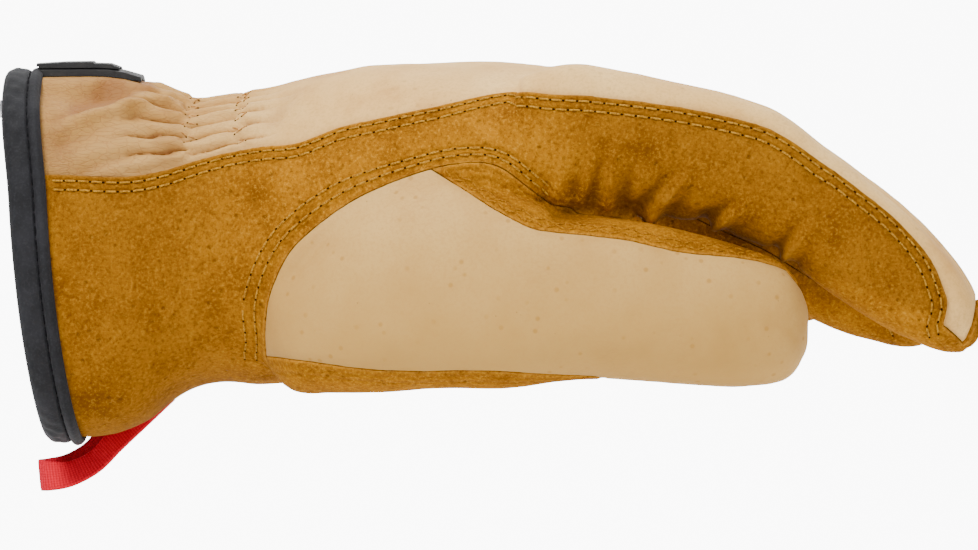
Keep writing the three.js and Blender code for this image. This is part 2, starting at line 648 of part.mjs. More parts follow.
// A strip on the back of the cuff that follows its curve. rows: [x, low, high], the
// heights over the leather.
function strip(rows, width) {
  const across = shares(8, -width / 2, width / 2);
  return skin(
    rows.map(([x, low, high]) => {
      const at = x / PALM_LENGTH;
      const lift = (rise) => (y) => new THREE.Vector3(x, y, backHeight(at, y) + rise);
      return [...across.map(lift(low)), ...across.toReversed().map(lift(high))];
    }),
  );
}

const TAB_SEAT = 3 * SEAM_GAP; // over the folds of the leather

function wristTab() {
  const rows = shares(6, TAB_START, TAB_START + TAB_LENGTH).map((x) => [x, TAB_SEAT, TAB_SEAT + TAB_THICKNESS]);
  return strip(rows, TAB_WIDTH).subtract(handSolid(LAP_RISE + SEAM_GAP)).subtract(bindingSpace());
}

// The binding grown by a clearance, to cut what lies against it.
function bindingSpace() {
  const rise = LAP_RISE + BINDING_THICKNESS + BINDING_SWELL + 2 * SEAM_GAP;
  const stations = [-BINDING_WIDTH, BINDING_WIDTH / 2 + SEAM_GAP];
  return skin(stations.map((x) => handRing(x / PALM_LENGTH, rise, HAND_SIDES)));
}

function tabPlate() {
  const low = TAB_SEAT + TAB_THICKNESS + SEAM_GAP;
  const high = low + PLATE_THICKNESS;
  const end = TAB_START + PLATE_LENGTH;
  const rows = [
    [TAB_START, low, high - PLATE_STEP],
    [TAB_START + PLATE_LENGTH * 0.35, low, high],
    [TAB_START + PLATE_LENGTH * 0.68, low, high],
    [TAB_START + PLATE_LENGTH * 0.7, low, high - PLATE_STEP],
    [end - PLATE_CHAMFER, low, high - PLATE_STEP],
    [end, low, low + PLATE_STEP],
  ];
  return strip(rows, PLATE_WIDTH).subtract(bindingSpace());
}

// The webbing loop: two strands side by side from the root, joined by the fold. What
// would lie inside the cuff is cut away, which seats the root on the leather.
function pullLoop() {
  const middle = new THREE.CatmullRomCurve3(
    LOOP_ROWS.map((row) => new THREE.Vector3(row.at * PALM_LENGTH, row.spread, row.up * HAND_HEIGHT)),
  );
  const strands = [-1, 1].map((hand) => {
    const stations = shares(16).map((share) => {
      const point = middle.getPoint(share);
      const along = middle.getTangent(share);
      const wide = new THREE.Vector3(-along.z, 0, along.x).normalize();
      const spread = Math.max(point.y, 0) * LOOP_SPREAD * 0.5;
      const y = LOOP_SIDE + hand * (spread + LOOP_THICKNESS * 0.4);
      return { centre: new THREE.Vector3(point.x, y, point.z), wide };
    });
    return skin(
      stations.map(({ centre, wide }, i) => {
        const before = stations[Math.max(i - 1, 0)].centre;
        const after = stations[Math.min(i + 1, stations.length - 1)].centre;
        const along = after.clone().sub(before).normalize();
        const thick = new THREE.Vector3().crossVectors(along, wide).normalize();
        const corner = (u, v) =>
          centre.clone().addScaledVector(wide, (u * LOOP_WIDTH) / 2).addScaledVector(thick, (v * LOOP_THICKNESS) / 2);
        return [corner(-1, -1), corner(1, -1), corner(1, 1), corner(-1, 1)];
      }),
    );
  });
  const seat = handSolid(LAP_RISE + SEAM_GAP);
  return mainBody(join(strands).subtract(seat).subtract(bindingSpace()));
}

// The label lies inside the binding near the top of the thumb side and peeks out.
function innerLabel() {
  const outer = -LEATHER - BINDING_THICKNESS - 3 * SEAM_GAP;
  const left = -BINDING_WIDTH / 2 - LABEL_SHOWS;
  const section = [
    [left, outer],
    [left + LABEL_LENGTH, outer],
    [left + LABEL_LENGTH, outer - LABEL_THICKNESS],
    [left, outer - LABEL_THICKNESS],
  ];
  const [from, to] = [0.60, 0.69];
  return skin(
    shares(5, from, to).map((turn) =>
      section.map(([x, outset]) => handPoint(x / PALM_LENGTH, turn * Math.PI, outset)),
    ),
  );
}

// Materials
const leather = (color, roughness) => new THREE.MeshStandardMaterial({ color, roughness, metalness: 0 });
const paleLeather = leather(0xdec8aa, 0.7);
const tanLeather = leather(0xc48a2a, 0.95);
const binding = leather(0x3a3a3e, 0.75);
const moulded = leather(0x3c3a3a, 0.45);
const webbing = leather(0xc80f23, 0.8);
const label = leather(0xe8e8e8, 0.9);

function piece(name, made, material) {
  const { vertProperties, triVerts } = made.getMesh();
  const geometry = new THREE.BufferGeometry();
  geometry.setAttribute("position", new THREE.BufferAttribute(vertProperties, 3));
  geometry.setIndex(new THREE.BufferAttribute(triVerts, 1));
  geometry.computeVertexNormals();
  const mesh = new THREE.Mesh(geometry, material);
  mesh.name = name;
  return mesh;
}

const glove = new THREE.Group();
glove.name = "leather_glove";
glove.add(
  piece("back_cuff", cuffOf(backLeather), paleLeather),
  piece("back_panel", middleOf(backLeather), paleLeather),
  ...fingersOf(backLeather).map((made, i) => piece(`finger_back_${i + 1}`, made, paleLeather)),
  piece("palm_cuff", cuffOf(palmLeather), tanLeather),
  piece("palm_panel", middleOf(palmLeather), tanLeather),
  ...fingersOf(palmLeather).map((made, i) => piece(`finger_front_${i + 1}`, made, tanLeather)),
  ...fourchettes().map((made, i) => piece(`fourchette_${i + 1}`, made, tanLeather)),
  piece("thumb_back", thumbBack(), paleLeather),
  piece("thumb_front", thumbFront(), tanLeather),
  piece("cuff_binding", cuffBinding(), binding),
  piece("wrist_tab", wristTab(), moulded),
  piece("tab_plate", tabPlate(), moulded),
  piece("pull_loop", pullLoop(), webbing),
  piece("inner_label", innerLabel(), label),
);

export default glove;
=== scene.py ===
import functools
import math

import bmesh
import bpy
import numpy as np
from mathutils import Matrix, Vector, kdtree
from mathutils import noise as field_noise


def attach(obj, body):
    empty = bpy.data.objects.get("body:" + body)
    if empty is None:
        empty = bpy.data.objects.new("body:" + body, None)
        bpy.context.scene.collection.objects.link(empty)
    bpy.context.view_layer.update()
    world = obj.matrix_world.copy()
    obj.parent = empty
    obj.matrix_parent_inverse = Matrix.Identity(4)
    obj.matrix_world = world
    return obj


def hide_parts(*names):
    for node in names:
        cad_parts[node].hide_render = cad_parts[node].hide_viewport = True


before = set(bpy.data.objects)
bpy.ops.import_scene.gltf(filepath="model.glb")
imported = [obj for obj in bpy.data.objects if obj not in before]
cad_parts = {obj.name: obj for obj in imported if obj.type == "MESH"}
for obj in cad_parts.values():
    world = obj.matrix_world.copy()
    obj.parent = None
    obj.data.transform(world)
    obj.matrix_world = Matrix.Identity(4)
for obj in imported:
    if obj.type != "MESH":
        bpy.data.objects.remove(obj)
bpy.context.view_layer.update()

bl_info = {
    "name": "Leather Work Glove",
    "version": (1, 0, 0),
    "blender": (4, 5, 0),
    "location": "View3D > Sidebar > Glove",
    "description": "Builds a lapped leather work glove with its stitching, binding, tab and pull loop",
    "category": "Add Mesh",
}

MM = 0.001

# Sizes of the glove in millimetres. They are the solids' sizes, apart from MOUTH_LEAN,
# MOUTH_TOP_BACK and the GATHER values, which follow the photo more closely.
PALM_LENGTH = 152.0
HAND_HEIGHT = 87.0
HAND_WIDTH = 96.0
SEAM_GAP = 0.3
LAP_RISE = 0.8
MOUTH_SET_BACK = 2.8
MOUTH_LEAN = 8.2
MOUTH_TOP_BACK = 1.6
FINGER_PITCH = 24.6
FINGER_WIDTH = 22.6
FINGER_DEPTH = 38.0
FINGER_ROOT = 118.0
FINGER_LEVEL = 28.6
FOURCHETTE_REACH = 6.5
WEB_DEPTH = 3.0
FINGER_LENGTH = 125.5
THUMB_ROOT = 52.0
THUMB_LENGTH = 136.0
THUMB_HEIGHT = 52.0
THUMB_THICKNESS = 36.0
THUMB_SEAM_DEPTH = 24.0
GATHER_CENTRE = 43.0
GATHER_PITCH = 4.6
GATHER_COLUMNS = (36.7, 49.3)
FOLD_HEIGHT = 2.0
BINDING_WIDTH = 9.5
BINDING_THICKNESS = 1.3
BINDING_SWELL = 0.6
BINDING_INNER_WIDTH = 7.5
LOOP_SIDE = 11.0
LOOP_WIDTH = 8.0
LOOP_THICKNESS = 1.1
LOOP_SPREAD = 6.6
LABEL_LENGTH = 16.0
LABEL_THICKNESS = 0.7
LABEL_SHOWS = 1.0

# How the tab's solids are drawn: X of TAB_START moves to TAB_FRONT, the length is times
# TAB_STRETCH, and all of it is raised by TAB_RAISE. TAB_UNDER gives X and Z of the underside
# before it is raised. The leather stays TAB_BEDDING below the underside.
TAB_START = 1.6
TAB_FRONT = -1.6
TAB_STRETCH = 1.056
TAB_RAISE = 0.5
TAB_BEDDING = 0.2
TAB_UNDER = ((-1.2, 11.5, 15.7, 21, 25.2), (43.8, 44.0, 43.9, 43.3, 42.2))

# Distances in millimetres of the two stitch rows from a lapped seam, from the edge of the thumb's
# opening, and from the edge of the strip along the thumb's top.
LAP_STITCHES = (1.6, 3.8)
OPENING_STITCHES = (1.9, 3.5)
STRIP_STITCHES = (1.3, 2.9)

# How far under the thumb the pale panel reaches past its lower edge, and how proud it stands.
PANEL_WRAP = 9.0
PANEL_LIFT = 0.75

# The stage, in metres and watts. LAMPS: name, place, width and power. The camera's lens shows
# FRAME_WIDTH millimetres of the glove at a distance of CAMERA_REACH.
FLOOR = -0.085
LAMPS = (
    ("key", (-0.28, -0.62, 0.88), 0.5, 17.0),
    ("fill", (0.75, -0.9, 0.15), 0.9, 2.6),
    ("top", (0.15, 0.20, 1.0), 0.8, 7.0),
)
CAMERA_PLACE = (0.111, -1.630, -0.0049)
CAMERA_SENSOR = 36.0
CAMERA_REACH = 1600
FRAME_WIDTH = 239.6


def table(names, *rows):
    """A table with named columns, from its rows."""
    return dict(zip(names.split(), np.array(rows, float).T))


# Sections of the hand. at: share of PALM_LENGTH. top, bottom, seam: shares of HAND_HEIGHT.
# near, far: shares of HAND_WIDTH. square: 2 is an ellipse, more is boxier.
HAND = table(
    "at top bottom near far square seam",
    (-0.03, 0.502, -0.497, -0.325, 0.325, 2.6, 0.225),
    (0.05, 0.504, -0.510, -0.33, 0.33, 2.6, 0.225),
    (0.145, 0.500, -0.466, -0.335, 0.335, 2.5, 0.22),
    (0.208, 0.462, -0.396, -0.335, 0.335, 2.3, 0.238),
    (0.250, 0.437, -0.366, -0.34, 0.34, 2.3, 0.259),
    (0.300, 0.448, -0.353, -0.35, 0.355, 2.3, 0.281),
    (0.362, 0.472, -0.362, -0.375, 0.385, 2.3, 0.301),
    (0.426, 0.506, -0.350, -0.405, 0.415, 2.3, 0.313),
    (0.490, 0.530, -0.285, -0.435, 0.440, 2.35, 0.355),
    (0.540, 0.544, -0.235, -0.455, 0.460, 2.4, 0.374),
    (0.635, 0.550, -0.130, -0.482, 0.480, 2.45, 0.407),
    (0.748, 0.553, -0.020, -0.495, 0.492, 2.5, 0.448),
    (0.845, 0.535, 0.065, -0.497, 0.494, 2.6, 0.451),
    (0.941, 0.490, 0.110, -0.49, 0.488, 2.7, 0.437),
    (1.000, 0.445, 0.150, -0.475, 0.472, 2.7, 0.420),
)

# Folds of the hand. rise: share of FOLD_HEIGHT. tilt: degrees.
FOLDS = table(
    "at up long wide rise tilt",
    (0.125, 0.415, 0.100, 0.034, 0.85, 14),
    (0.110, 0.475, 0.075, 0.036, -0.95, 10),
    (0.186, 0.490, 0.028, 0.040, 0.70, 0),
    (0.225, 0.090, 0.070, 0.060, -0.35, -60),
    (0.400, -0.260, 0.060, 0.050, -0.30, 70),
)

# One finger. at: share of its length. bend: share of its curl. over, under: shares of
# FINGER_DEPTH. wide: share of FINGER_WIDTH. lap: height of the lapped seam, a share of over.
FINGER_ROWS = table(
    "at bend over under wide lap",
    (0.000, 0.00, 0.400, 0.360, 0.90, 0.56),
    (0.095, 0.02, 0.492, 0.474, 0.99, 0.58),
    (0.190, 0.06, 0.478, 0.455, 1.00, 0.61),
    (0.279, 0.11, 0.453, 0.411, 1.00, 0.64),
    (0.367, 0.23, 0.442, 0.376, 1.00, 0.66),
    (0.415, 0.33, 0.440, 0.352, 0.99, 0.68),
    (0.462, 0.45, 0.437, 0.371, 0.99, 0.70),
    (0.558, 0.61, 0.372, 0.345, 0.97, 0.72),
    (0.605, 0.67, 0.357, 0.330, 0.96, 0.73),
    (0.653, 0.73, 0.343, 0.345, 0.95, 0.73),
    (0.749, 0.80, 0.330, 0.352, 0.92, 0.72),
    (0.845, 0.86, 0.295, 0.306, 0.86, 0.58),
    (0.932, 0.95, 0.230, 0.216, 0.72, 0.10),
    (0.975, 0.98, 0.155, 0.145, 0.50, -0.60),
    (1.000, 1.00, 0.060, 0.060, 0.22, -1.20),
)

# The four fingers. place: pitches from the middle. long: share of FINGER_LENGTH. rise: share of
# FINGER_DEPTH. knuckle, curl: degrees.
FINGERS = table(
    "place long knuckle curl rise",
    (-1.5, 1.000, 4, 44, 0),
    (-0.5, 1.012, 4, 42.5, 0.032),
    (0.5, 0.920, 14, 23, -0.011),
    (1.5, 0.717, 15, 26, -0.040),
)
FINGERS["length"] = FINGERS["long"] * FINGER_LENGTH

# Sections of the thumb. at: share of THUMB_LENGTH. mid: share of HAND_HEIGHT. tall: share of
# THUMB_HEIGHT. side: share of HAND_WIDTH. thick: share of THUMB_THICKNESS.
THUMB = table(
    "at mid tall side thick",
    (0.000, -0.080, 0.50, -0.190, 0.55),
    (0.073, -0.193, 0.58, -0.234, 0.97),
    (0.146, -0.144, 0.79, -0.294, 1.01),
    (0.234, -0.097, 0.94, -0.346, 1.01),
    (0.328, -0.067, 1.00, -0.383, 0.99),
    (0.409, -0.082, 0.95, -0.409, 0.96),
    (0.482, -0.099, 0.88, -0.427, 0.92),
    (0.555, -0.114, 0.78, -0.438, 0.86),
    (0.642, -0.120, 0.73, -0.440, 0.82),
    (0.730, -0.136, 0.715, -0.438, 0.78),
    (0.818, -0.157, 0.67, -0.430, 0.74),
    (0.891, -0.176, 0.61, -0.422, 0.68),
    (0.945, -0.189, 0.545, -0.412, 0.60),
    (0.978, -0.200, 0.42, -0.405, 0.45),
    (1.000, -0.208, 0.18, -0.400, 0.20),
)

# Upper edge of the thumb's pale panel, in millimetres.
PALE_TOP = table(
    "x z",
    (76.0, 38.0),
    (89.2, 25.7),
    (97.0, 20.8),
    (106.3, 14.5),
    (112.9, 10.3),
    (121.3, 6.1),
    (127.6, 5.1),
    (143.3, 3.4),
    (157.0, 0.5),
    (171.0, -1.2),
    (179.3, -2.9),
    (184.5, -5.1),
    (190.0, -8.0),
)

# Lower edge of the pale panel, in millimetres. Past its end the panel wraps under the thumb.
PALE_BOTTOM = table(
    "x z",
    (46.0, -23.6),
    (56.4, -24.7),
    (68.8, -26.0),
    (82.3, -27.5),
    (94.0, -27.8),
    (112.7, -27.8),
    (124.2, -28.6),
    (140.0, -29.6),
    (152.0, -33.0),
    (165.0, -42.0),
)

# Edge of the opening that the thumb is set into. at: share of PALM_LENGTH. up: of HAND_HEIGHT.
THUMB_OPENING = table(
    "at up",
    (0.403, -0.480),
    (0.403, -0.377),
    (0.388, -0.362),
    (0.373, -0.300),
    (0.371, -0.189),
    (0.379, -0.110),
    (0.403, -0.014),
    (0.434, 0.051),
    (0.500, 0.138),
    (0.564, 0.194),
    (0.638, 0.239),
    (0.693, 0.256),
    (0.743, 0.248),
    (0.793, 0.189),
    (0.824, 0.146),
)

# Middle line of the webbing loop. spread: share of LOOP_SPREAD.
LOOP_ROWS = table(
    "at up spread",
    (0.205, -0.365, 0.0),
    (0.161, -0.437, 0.0),
    (0.132, -0.484, 0.3),
    (0.103, -0.532, 0.7),
    (0.074, -0.583, 0.95),
    (0.038, -0.618, 1.0),
    (0.006, -0.631, 0.75),
    (-0.010, -0.634, 0.0),
)

# Creases of the leather on the thumb side. Ends in millimetres along X and Z. rise: height
# of the ridge, or depth where negative. wide: its half width. deep: the furthest Y it shows at.
# The rise also paints shade into the dents, and a highlight onto the ridges of the tan leather.
# The broad dents between the thumb and the index finger, from x 128 to 147, are there mostly
# for their painted shadow.
CREASES = table(
    "x0 z0 x1 z1 rise wide deep",
    (149.9, 9.8, 159.9, 19.4, 1.9, 1.3, -34),
    (146.8, 11.3, 156.6, 21.4, -1.7, 1.7, -34),
    (153.5, 9.0, 161.5, 16.5, -1.1, 1.6, -34),
    (165.9, 7.6, 174.0, 11.4, 1.7, 1.3, -34),
    (163.6, 9.6, 172.0, 13.8, -1.5, 1.6, -34),
    (168.5, 6.0, 175.5, 9.2, -0.9, 1.3, -34),
    (183.5, 0.5, 188.8, 5.6, 1.7, 1.2, -32),
    (180.9, 2.2, 186.3, 7.8, -1.4, 1.5, -32),
    (186.0, -2.0, 190.6, 3.2, -0.8, 1.4, -32),
    (149.9, 9.4, 165.9, 6.6, 1.3, 1.1, -34),
    (165.9, 6.6, 183.3, -1.0, 1.3, 1.1, -34),
    (183.3, -1.0, 198.9, -13.8, 1.2, 1.1, -32),
    (198.9, -13.8, 214.6, -21.6, 0.9, 1.1, -26),
    (151.0, 12.6, 166.0, 9.8, -0.7, 1.2, -34),
    (131.5, 15.0, 134.5, 27.0, -1.1, 1.5, -34),
    (136.0, 13.5, 139.5, 28.0, -1.5, 1.6, -34),
    (140.0, 12.0, 141.8, 27.0, 1.3, 1.2, -34),
    (143.5, 11.5, 147.0, 26.0, -1.2, 1.5, -34),
    (127.5, 13.0, 129.0, 24.0, 0.9, 1.4, -34),
    (124.0, 14.0, 125.5, 22.0, -0.8, 1.4, -34),
    (189.0, 18.0, 196.0, 6.0, -0.6, 2.6, -32),
    (170.0, 22.0, 178.0, 14.0, -0.5, 2.4, -34),
    (201.0, 6.0, 206.0, -6.0, -0.4, 2.6, -30),
    (128.0, 10.0, 147.0, 12.0, -1.3, 3.0, -30),
    (142.0, 14.0, 144.0, 21.0, -0.8, 2.4, -34),
    (70.0, 4.0, 83.0, -2.0, -0.35, 3.5, -26),
    (52.0, -6.0, 60.0, -24.0, -0.5, 3.5, -20),
    (42.0, -14.0, 58.0, -30.0, -0.4, 3.0, -18),
)

# Folds of the pale back between the cuff and the wrist, with the same columns. The rise also
# paints shade into their dents.
BACK_CREASES = table(
    "x0 z0 x1 z1 rise wide deep",
    (5.0, 30.4, 11.0, 33.8, 1.0, 1.7, 2),
    (11.0, 33.8, 21.0, 36.8, 1.7, 1.7, 2),
    (21.0, 36.8, 31.0, 38.2, 1.8, 1.6, 2),
    (31.0, 38.2, 39.0, 37.4, 1.1, 1.3, 2),
    (10.0, 36.6, 18.0, 39.6, -1.9, 2.3, -2),
    (16.0, 38.8, 26.0, 41.0, -2.2, 2.0, 0),
    (24.0, 43.0, 29.0, 40.0, -1.8, 1.1, 6),
    (28.5, 43.2, 33.0, 41.4, 1.3, 1.3, 8),
    (4.6, 33.4, 9.0, 37.0, -0.8, 1.6, -4),
    (10.0, 23.6, 25.0, 30.2, 0.9, 2.0, -18),
    (12.0, 20.6, 27.0, 26.8, -0.7, 1.4, -18),
    (6.0, 27.0, 19.0, 31.6, -0.8, 1.4, -12),
    (58.0, 33.0, 66.0, 46.0, -0.7, 2.4, -14),
    (50.0, 34.0, 60.0, 38.4, 0.6, 1.6, -14),
    (64.0, 36.0, 70.0, 47.0, 0.4, 2.4, -14),
)

# Lower edge of the pale leather round a fingertip. at: share along the finger. over: mm above
# its middle line. It ends in a point, and the tan cap wraps over the tip beyond it.
TIP_EDGE = table(
    "at over",
    (0.820, 8.0),
    (0.870, 5.0),
    (0.907, 2.8),
    (0.922, 0.6),
    (0.931, -1.2),
    (0.936, -2.2),
    (0.964, -1.8),
    (0.995, -1.5),
    (0.990, 0.0),
    (0.979, 3.1),
    (0.968, 5.5),
    (0.950, 9.0),
)

# Mesh steps
HAND_SIDES = 200
HAND_STEPS = 150
DIGIT_SIDES = 72
DIGIT_STEPS = 110

BACK, PALM, THUMB_PALE, THUMB_TAN = 0, 1, 2, 3
FOURCHETTE = 4


def column(rows, name, share):
    """One column at shares of the table's length, a cubic through its rows."""
    at, value = rows["at"], rows[name]
    share = np.clip(np.asarray(share, float), at[0], at[-1])
    i = np.clip(np.searchsorted(at, share) - 1, 0, len(at) - 2)
    slope = np.gradient(value)
    slope[1:-1] = (value[2:] - value[:-2]) / (at[2:] - at[:-2])
    slope[0] = (value[1] - value[0]) / (at[1] - at[0])
    slope[-1] = (value[-1] - value[-2]) / (at[-1] - at[-2])
    span = at[i + 1] - at[i]
    t = (share - at[i]) / span
    start = value[i] * (1 + 2 * t) * (1 - t) ** 2 + slope[i] * span * t * (1 - t) ** 2
    end = value[i + 1] * t * t * (3 - 2 * t) + slope[i + 1] * span * t * t * (t - 1)
    return start + end


def smooth_step(value, low, high):
    t = np.clip((value - low) / (high - low), 0, 1)
    return t * t * (3 - 2 * t)


def rounded(angle, square):
    """A point of a superellipse of half sizes one, by its angle."""
    across, up = np.cos(angle), np.sin(angle)
    power = 2 / square
    return np.sign(across) * np.abs(across) ** power, np.sign(up) * np.abs(up) ** power


def mouth_lean(height, at):
    """How far the wrist opening's edge lies along X at a height of the hand."""
    down = np.clip(0.5 - height / HAND_HEIGHT, 0, 1)
    top = MOUTH_TOP_BACK * smooth_step(height / HAND_HEIGHT, 0.15, 0.45)
    return (1 - smooth_step(at, 0, 0.36)) * (MOUTH_LEAN * down**2.2 - MOUTH_SET_BACK - top)


def fold_rise(at, height):
    total = 0
    for k in range(len(FOLDS["at"])):
        fold = {name: values[k] for name, values in FOLDS.items()}
        along = (at - fold["at"]) * PALM_LENGTH
        up = height - fold["up"] * HAND_HEIGHT
        tilt = math.radians(fold["tilt"])
        u = (along * math.cos(tilt) + up * math.sin(tilt)) / (fold["long"] * PALM_LENGTH)
        v = (up * math.cos(tilt) - along * math.sin(tilt)) / (fold["wide"] * HAND_HEIGHT)
        total = total + fold["rise"] * FOLD_HEIGHT * np.exp(-u * u - v * v)
    return total


def hand_section(at):
    top, bottom = (column(HAND, name, at) * HAND_HEIGHT for name in ("top", "bottom"))
    near, far = (column(HAND, name, at) * HAND_WIDTH for name in ("near", "far"))
    return {
        "side": (near + far) / 2,
        "mid": (top + bottom) / 2,
        "wide": (far - near) / 2,
        "tall": (top - bottom) / 2,
        "square": column(HAND, "square", at),
    }


def hand_points(at, angle, outset):
    """Points on the hand's skin, or outset outside it, by their angle round the section."""
    part = hand_section(at)
    across, up = rounded(angle, part["square"])
    height = part["mid"] + up * part["tall"]
    swell = outset + fold_rise(at, height)
    x = at * PALM_LENGTH + mouth_lean(height, at)
    y = part["side"] + across * (part["wide"] + swell)
    z = part["mid"] + up * (part["tall"] + swell)
    return np.stack(np.broadcast_arrays(x, y, z), -1)


@functools.lru_cache(maxsize=None)
def finger_spine(index):
    """Middle line of a finger: rows of share, x, z and slope, with a run past each end."""
    steps = 60
    length, knuckle, curl, rise = (FINGERS[n][index] for n in ("length", "knuckle", "curl", "rise"))
    shares = np.arange(steps + 1) / steps
    slope = -np.radians(knuckle + curl * column(FINGER_ROWS, "bend", shares))
    reach = length / steps
    x = FINGER_ROOT + np.concatenate([[0], np.cumsum(np.cos(slope[:-1]))]) * reach
    z = FINGER_LEVEL + rise * FINGER_DEPTH + np.concatenate([[0], np.cumsum(np.sin(slope[:-1]))]) * reach
    fine = np.linspace(-0.25, 1.1, 541)
    inside = np.clip(fine, 0, 1)
    run = (fine - inside) * length
    slopes = np.interp(inside, shares, slope)
    return np.stack(
        [
            fine,
            np.interp(inside, shares, x) + run * np.cos(slopes),
            np.interp(inside, shares, z) + run * np.sin(slopes),
            slopes,
        ],
        -1,
    )


def finger_points(index, at, side, over):
    spine = finger_spine(index)
    x, z, slope = (np.interp(at, spine[:, 0], spine[:, k]) for k in (1, 2, 3))
    return np.stack(np.broadcast_arrays(x - over * np.sin(slope), side, z + over * np.cos(slope)), -1)


def finger_places(points):
    """For points in millimetres: the nearest finger's index, the share along it, the height over
    its middle line and the place across it."""
    count = len(FINGERS["place"])
    index = np.clip(np.round(points[:, 1] / FINGER_PITCH - FINGERS["place"][0]), 0, count - 1).astype(int)
    at, over = np.zeros(len(points)), np.zeros(len(points))
    for k in range(count):
        chosen = np.nonzero(index == k)[0]
        spine = finger_spine(k)
        for part in np.array_split(chosen, max(1, len(chosen) // 8000)):
            x_gap = points[part, None, 0] - spine[None, :, 1]
            z_gap = points[part, None, 2] - spine[None, :, 2]
            near = spine[(x_gap**2 + z_gap**2).argmin(1)]
            dx, dz = points[part, 0] - near[:, 1], points[part, 2] - near[:, 2]
            along = dx * np.cos(near[:, 3]) + dz * np.sin(near[:, 3])
            at[part] = near[:, 0] + along / FINGERS["length"][k]
            over[part] = dz * np.cos(near[:, 3]) - dx * np.sin(near[:, 3])
    across = points[:, 1] - FINGERS["place"][index] * FINGER_PITCH
    return index, at, over, across


def thumb_section(at):
    return {
        "x": THUMB_ROOT + at * THUMB_LENGTH,
        "mid": column(THUMB, "mid", at) * HAND_HEIGHT,
        "tall": column(THUMB, "tall", at) * THUMB_HEIGHT / 2,
        "side": column(THUMB, "side", at) * HAND_WIDTH,
        "thick": column(THUMB, "thick", at) * THUMB_THICKNESS / 2,
    }


def signed_line(points, line):
    """Distance of 2D points from an open line, positive on its left."""
    start, end = line[:-1], line[1:]
    best = np.full(len(points), 1e9)
    value = np.zeros(len(points))
    for a, b in zip(start, end):
        run = b - a
        t = np.clip(((points - a) @ run) / (run @ run), 0, 1)
        gap = points - a - t[:, None] * run
        size = np.hypot(gap[:, 0], gap[:, 1])
        turn = run[0] * (points[:, 1] - a[1]) - run[1] * (points[:, 0] - a[0])
        nearer = size < best - 1e-6
        best[nearer] = size[nearer]
        value[nearer] = np.sign(turn[nearer]) * size[nearer]
    return value


def through(points, per_span=8):
    """A smooth line through points."""
    points = np.asarray(points, float)
    padded = np.vstack([2 * points[0] - points[1], points, 2 * points[-1] - points[-2]])
    t = np.linspace(0, 1, per_span, endpoint=False)[:, None]
    spans = []
    for a, b, c, d in zip(padded, padded[1:], padded[2:], padded[3:]):
        spans.append(
            0.5 * (2 * b + (c - a) * t + (2 * a - 5 * b + 4 * c - d) * t**2 + (3 * b - a - 3 * c + d) * t**3)
        )
    return np.vstack([*spans, points[-1:]])


# The regions of the leather pieces. Each is a distance in millimetres, positive inside.


def back_region(points):
    over_hand = points[:, 2] - column(HAND, "seam", points[:, 0] / PALM_LENGTH) * HAND_HEIGHT
    _, at, over, _ = finger_places(points)
    over_finger = over - column(FINGER_ROWS, "lap", at) * column(FINGER_ROWS, "over", at) * FINGER_DEPTH
    edge = np.stack([TIP_EDGE["at"] * FINGER_LENGTH, TIP_EDGE["over"]], -1)
    tip = signed_line(np.stack([at * FINGER_LENGTH, over], -1), edge)
    past = smooth_step(at, 0.850, 0.885)
    over_finger = over_finger * (1 - past) + tip * past
    share = smooth_step(points[:, 0], 119, 135)
    return over_hand * (1 - share) + over_finger * share


def thumb_region(points):
    edge = through(np.stack([THUMB_OPENING["at"] * PALM_LENGTH, THUMB_OPENING["up"] * HAND_HEIGHT], -1))
    crotch = edge[-1, 0]
    free = thumb_section(np.linspace((crotch - THUMB_ROOT) / THUMB_LENGTH + 0.06, 1.08, 8))
    free = np.stack([free["x"], free["mid"] + free["tall"] + LAP_RISE + 0.2], -1)
    # The line runs from under the palm to the tip, so the thumb lies on its right.
    inside = -signed_line(points[:, (0, 2)], np.vstack([edge[0] - (0, 60), edge, free]))
    thumb_end = THUMB_ROOT + THUMB_LENGTH + 2.0
    return np.minimum(np.minimum(inside, thumb_end - points[:, 0]), -THUMB_SEAM_DEPTH - points[:, 1])


def pale_panel_region(points):
    flat = points[:, (0, 2)]
    low = signed_line(flat, through(np.stack([PALE_BOTTOM["x"], PALE_BOTTOM["z"]], -1), 4))
    high = -signed_line(flat, through(np.stack([PALE_TOP["x"], PALE_TOP["z"]], -1), 4))
    part = thumb_section((points[:, 0] - THUMB_ROOT) / THUMB_LENGTH)
    wrap = PANEL_WRAP * smooth_step(points[:, 0], 128, 158)
    return np.minimum(np.minimum(low, high), part["side"] + wrap - points[:, 1])


def fourchette_region(points, index):
    crotch = (FINGERS["place"][index] + 0.5) * FINGER_PITCH
    finger, at, over, _ = finger_places(points)
    length = FINGERS["length"][finger]
    start = (PALM_LENGTH - WEB_DEPTH - FINGER_ROOT) / length
    under = -0.42 * column(FINGER_ROWS, "under", at) * FINGER_DEPTH
    inside = np.minimum(FOURCHETTE_REACH - np.abs(points[:, 1] - crotch), over - under)
    return np.minimum(inside, np.minimum((at - start) * length, (0.93 - at) * length))


# Mesh work on plain arrays. A point row holds place and normal.


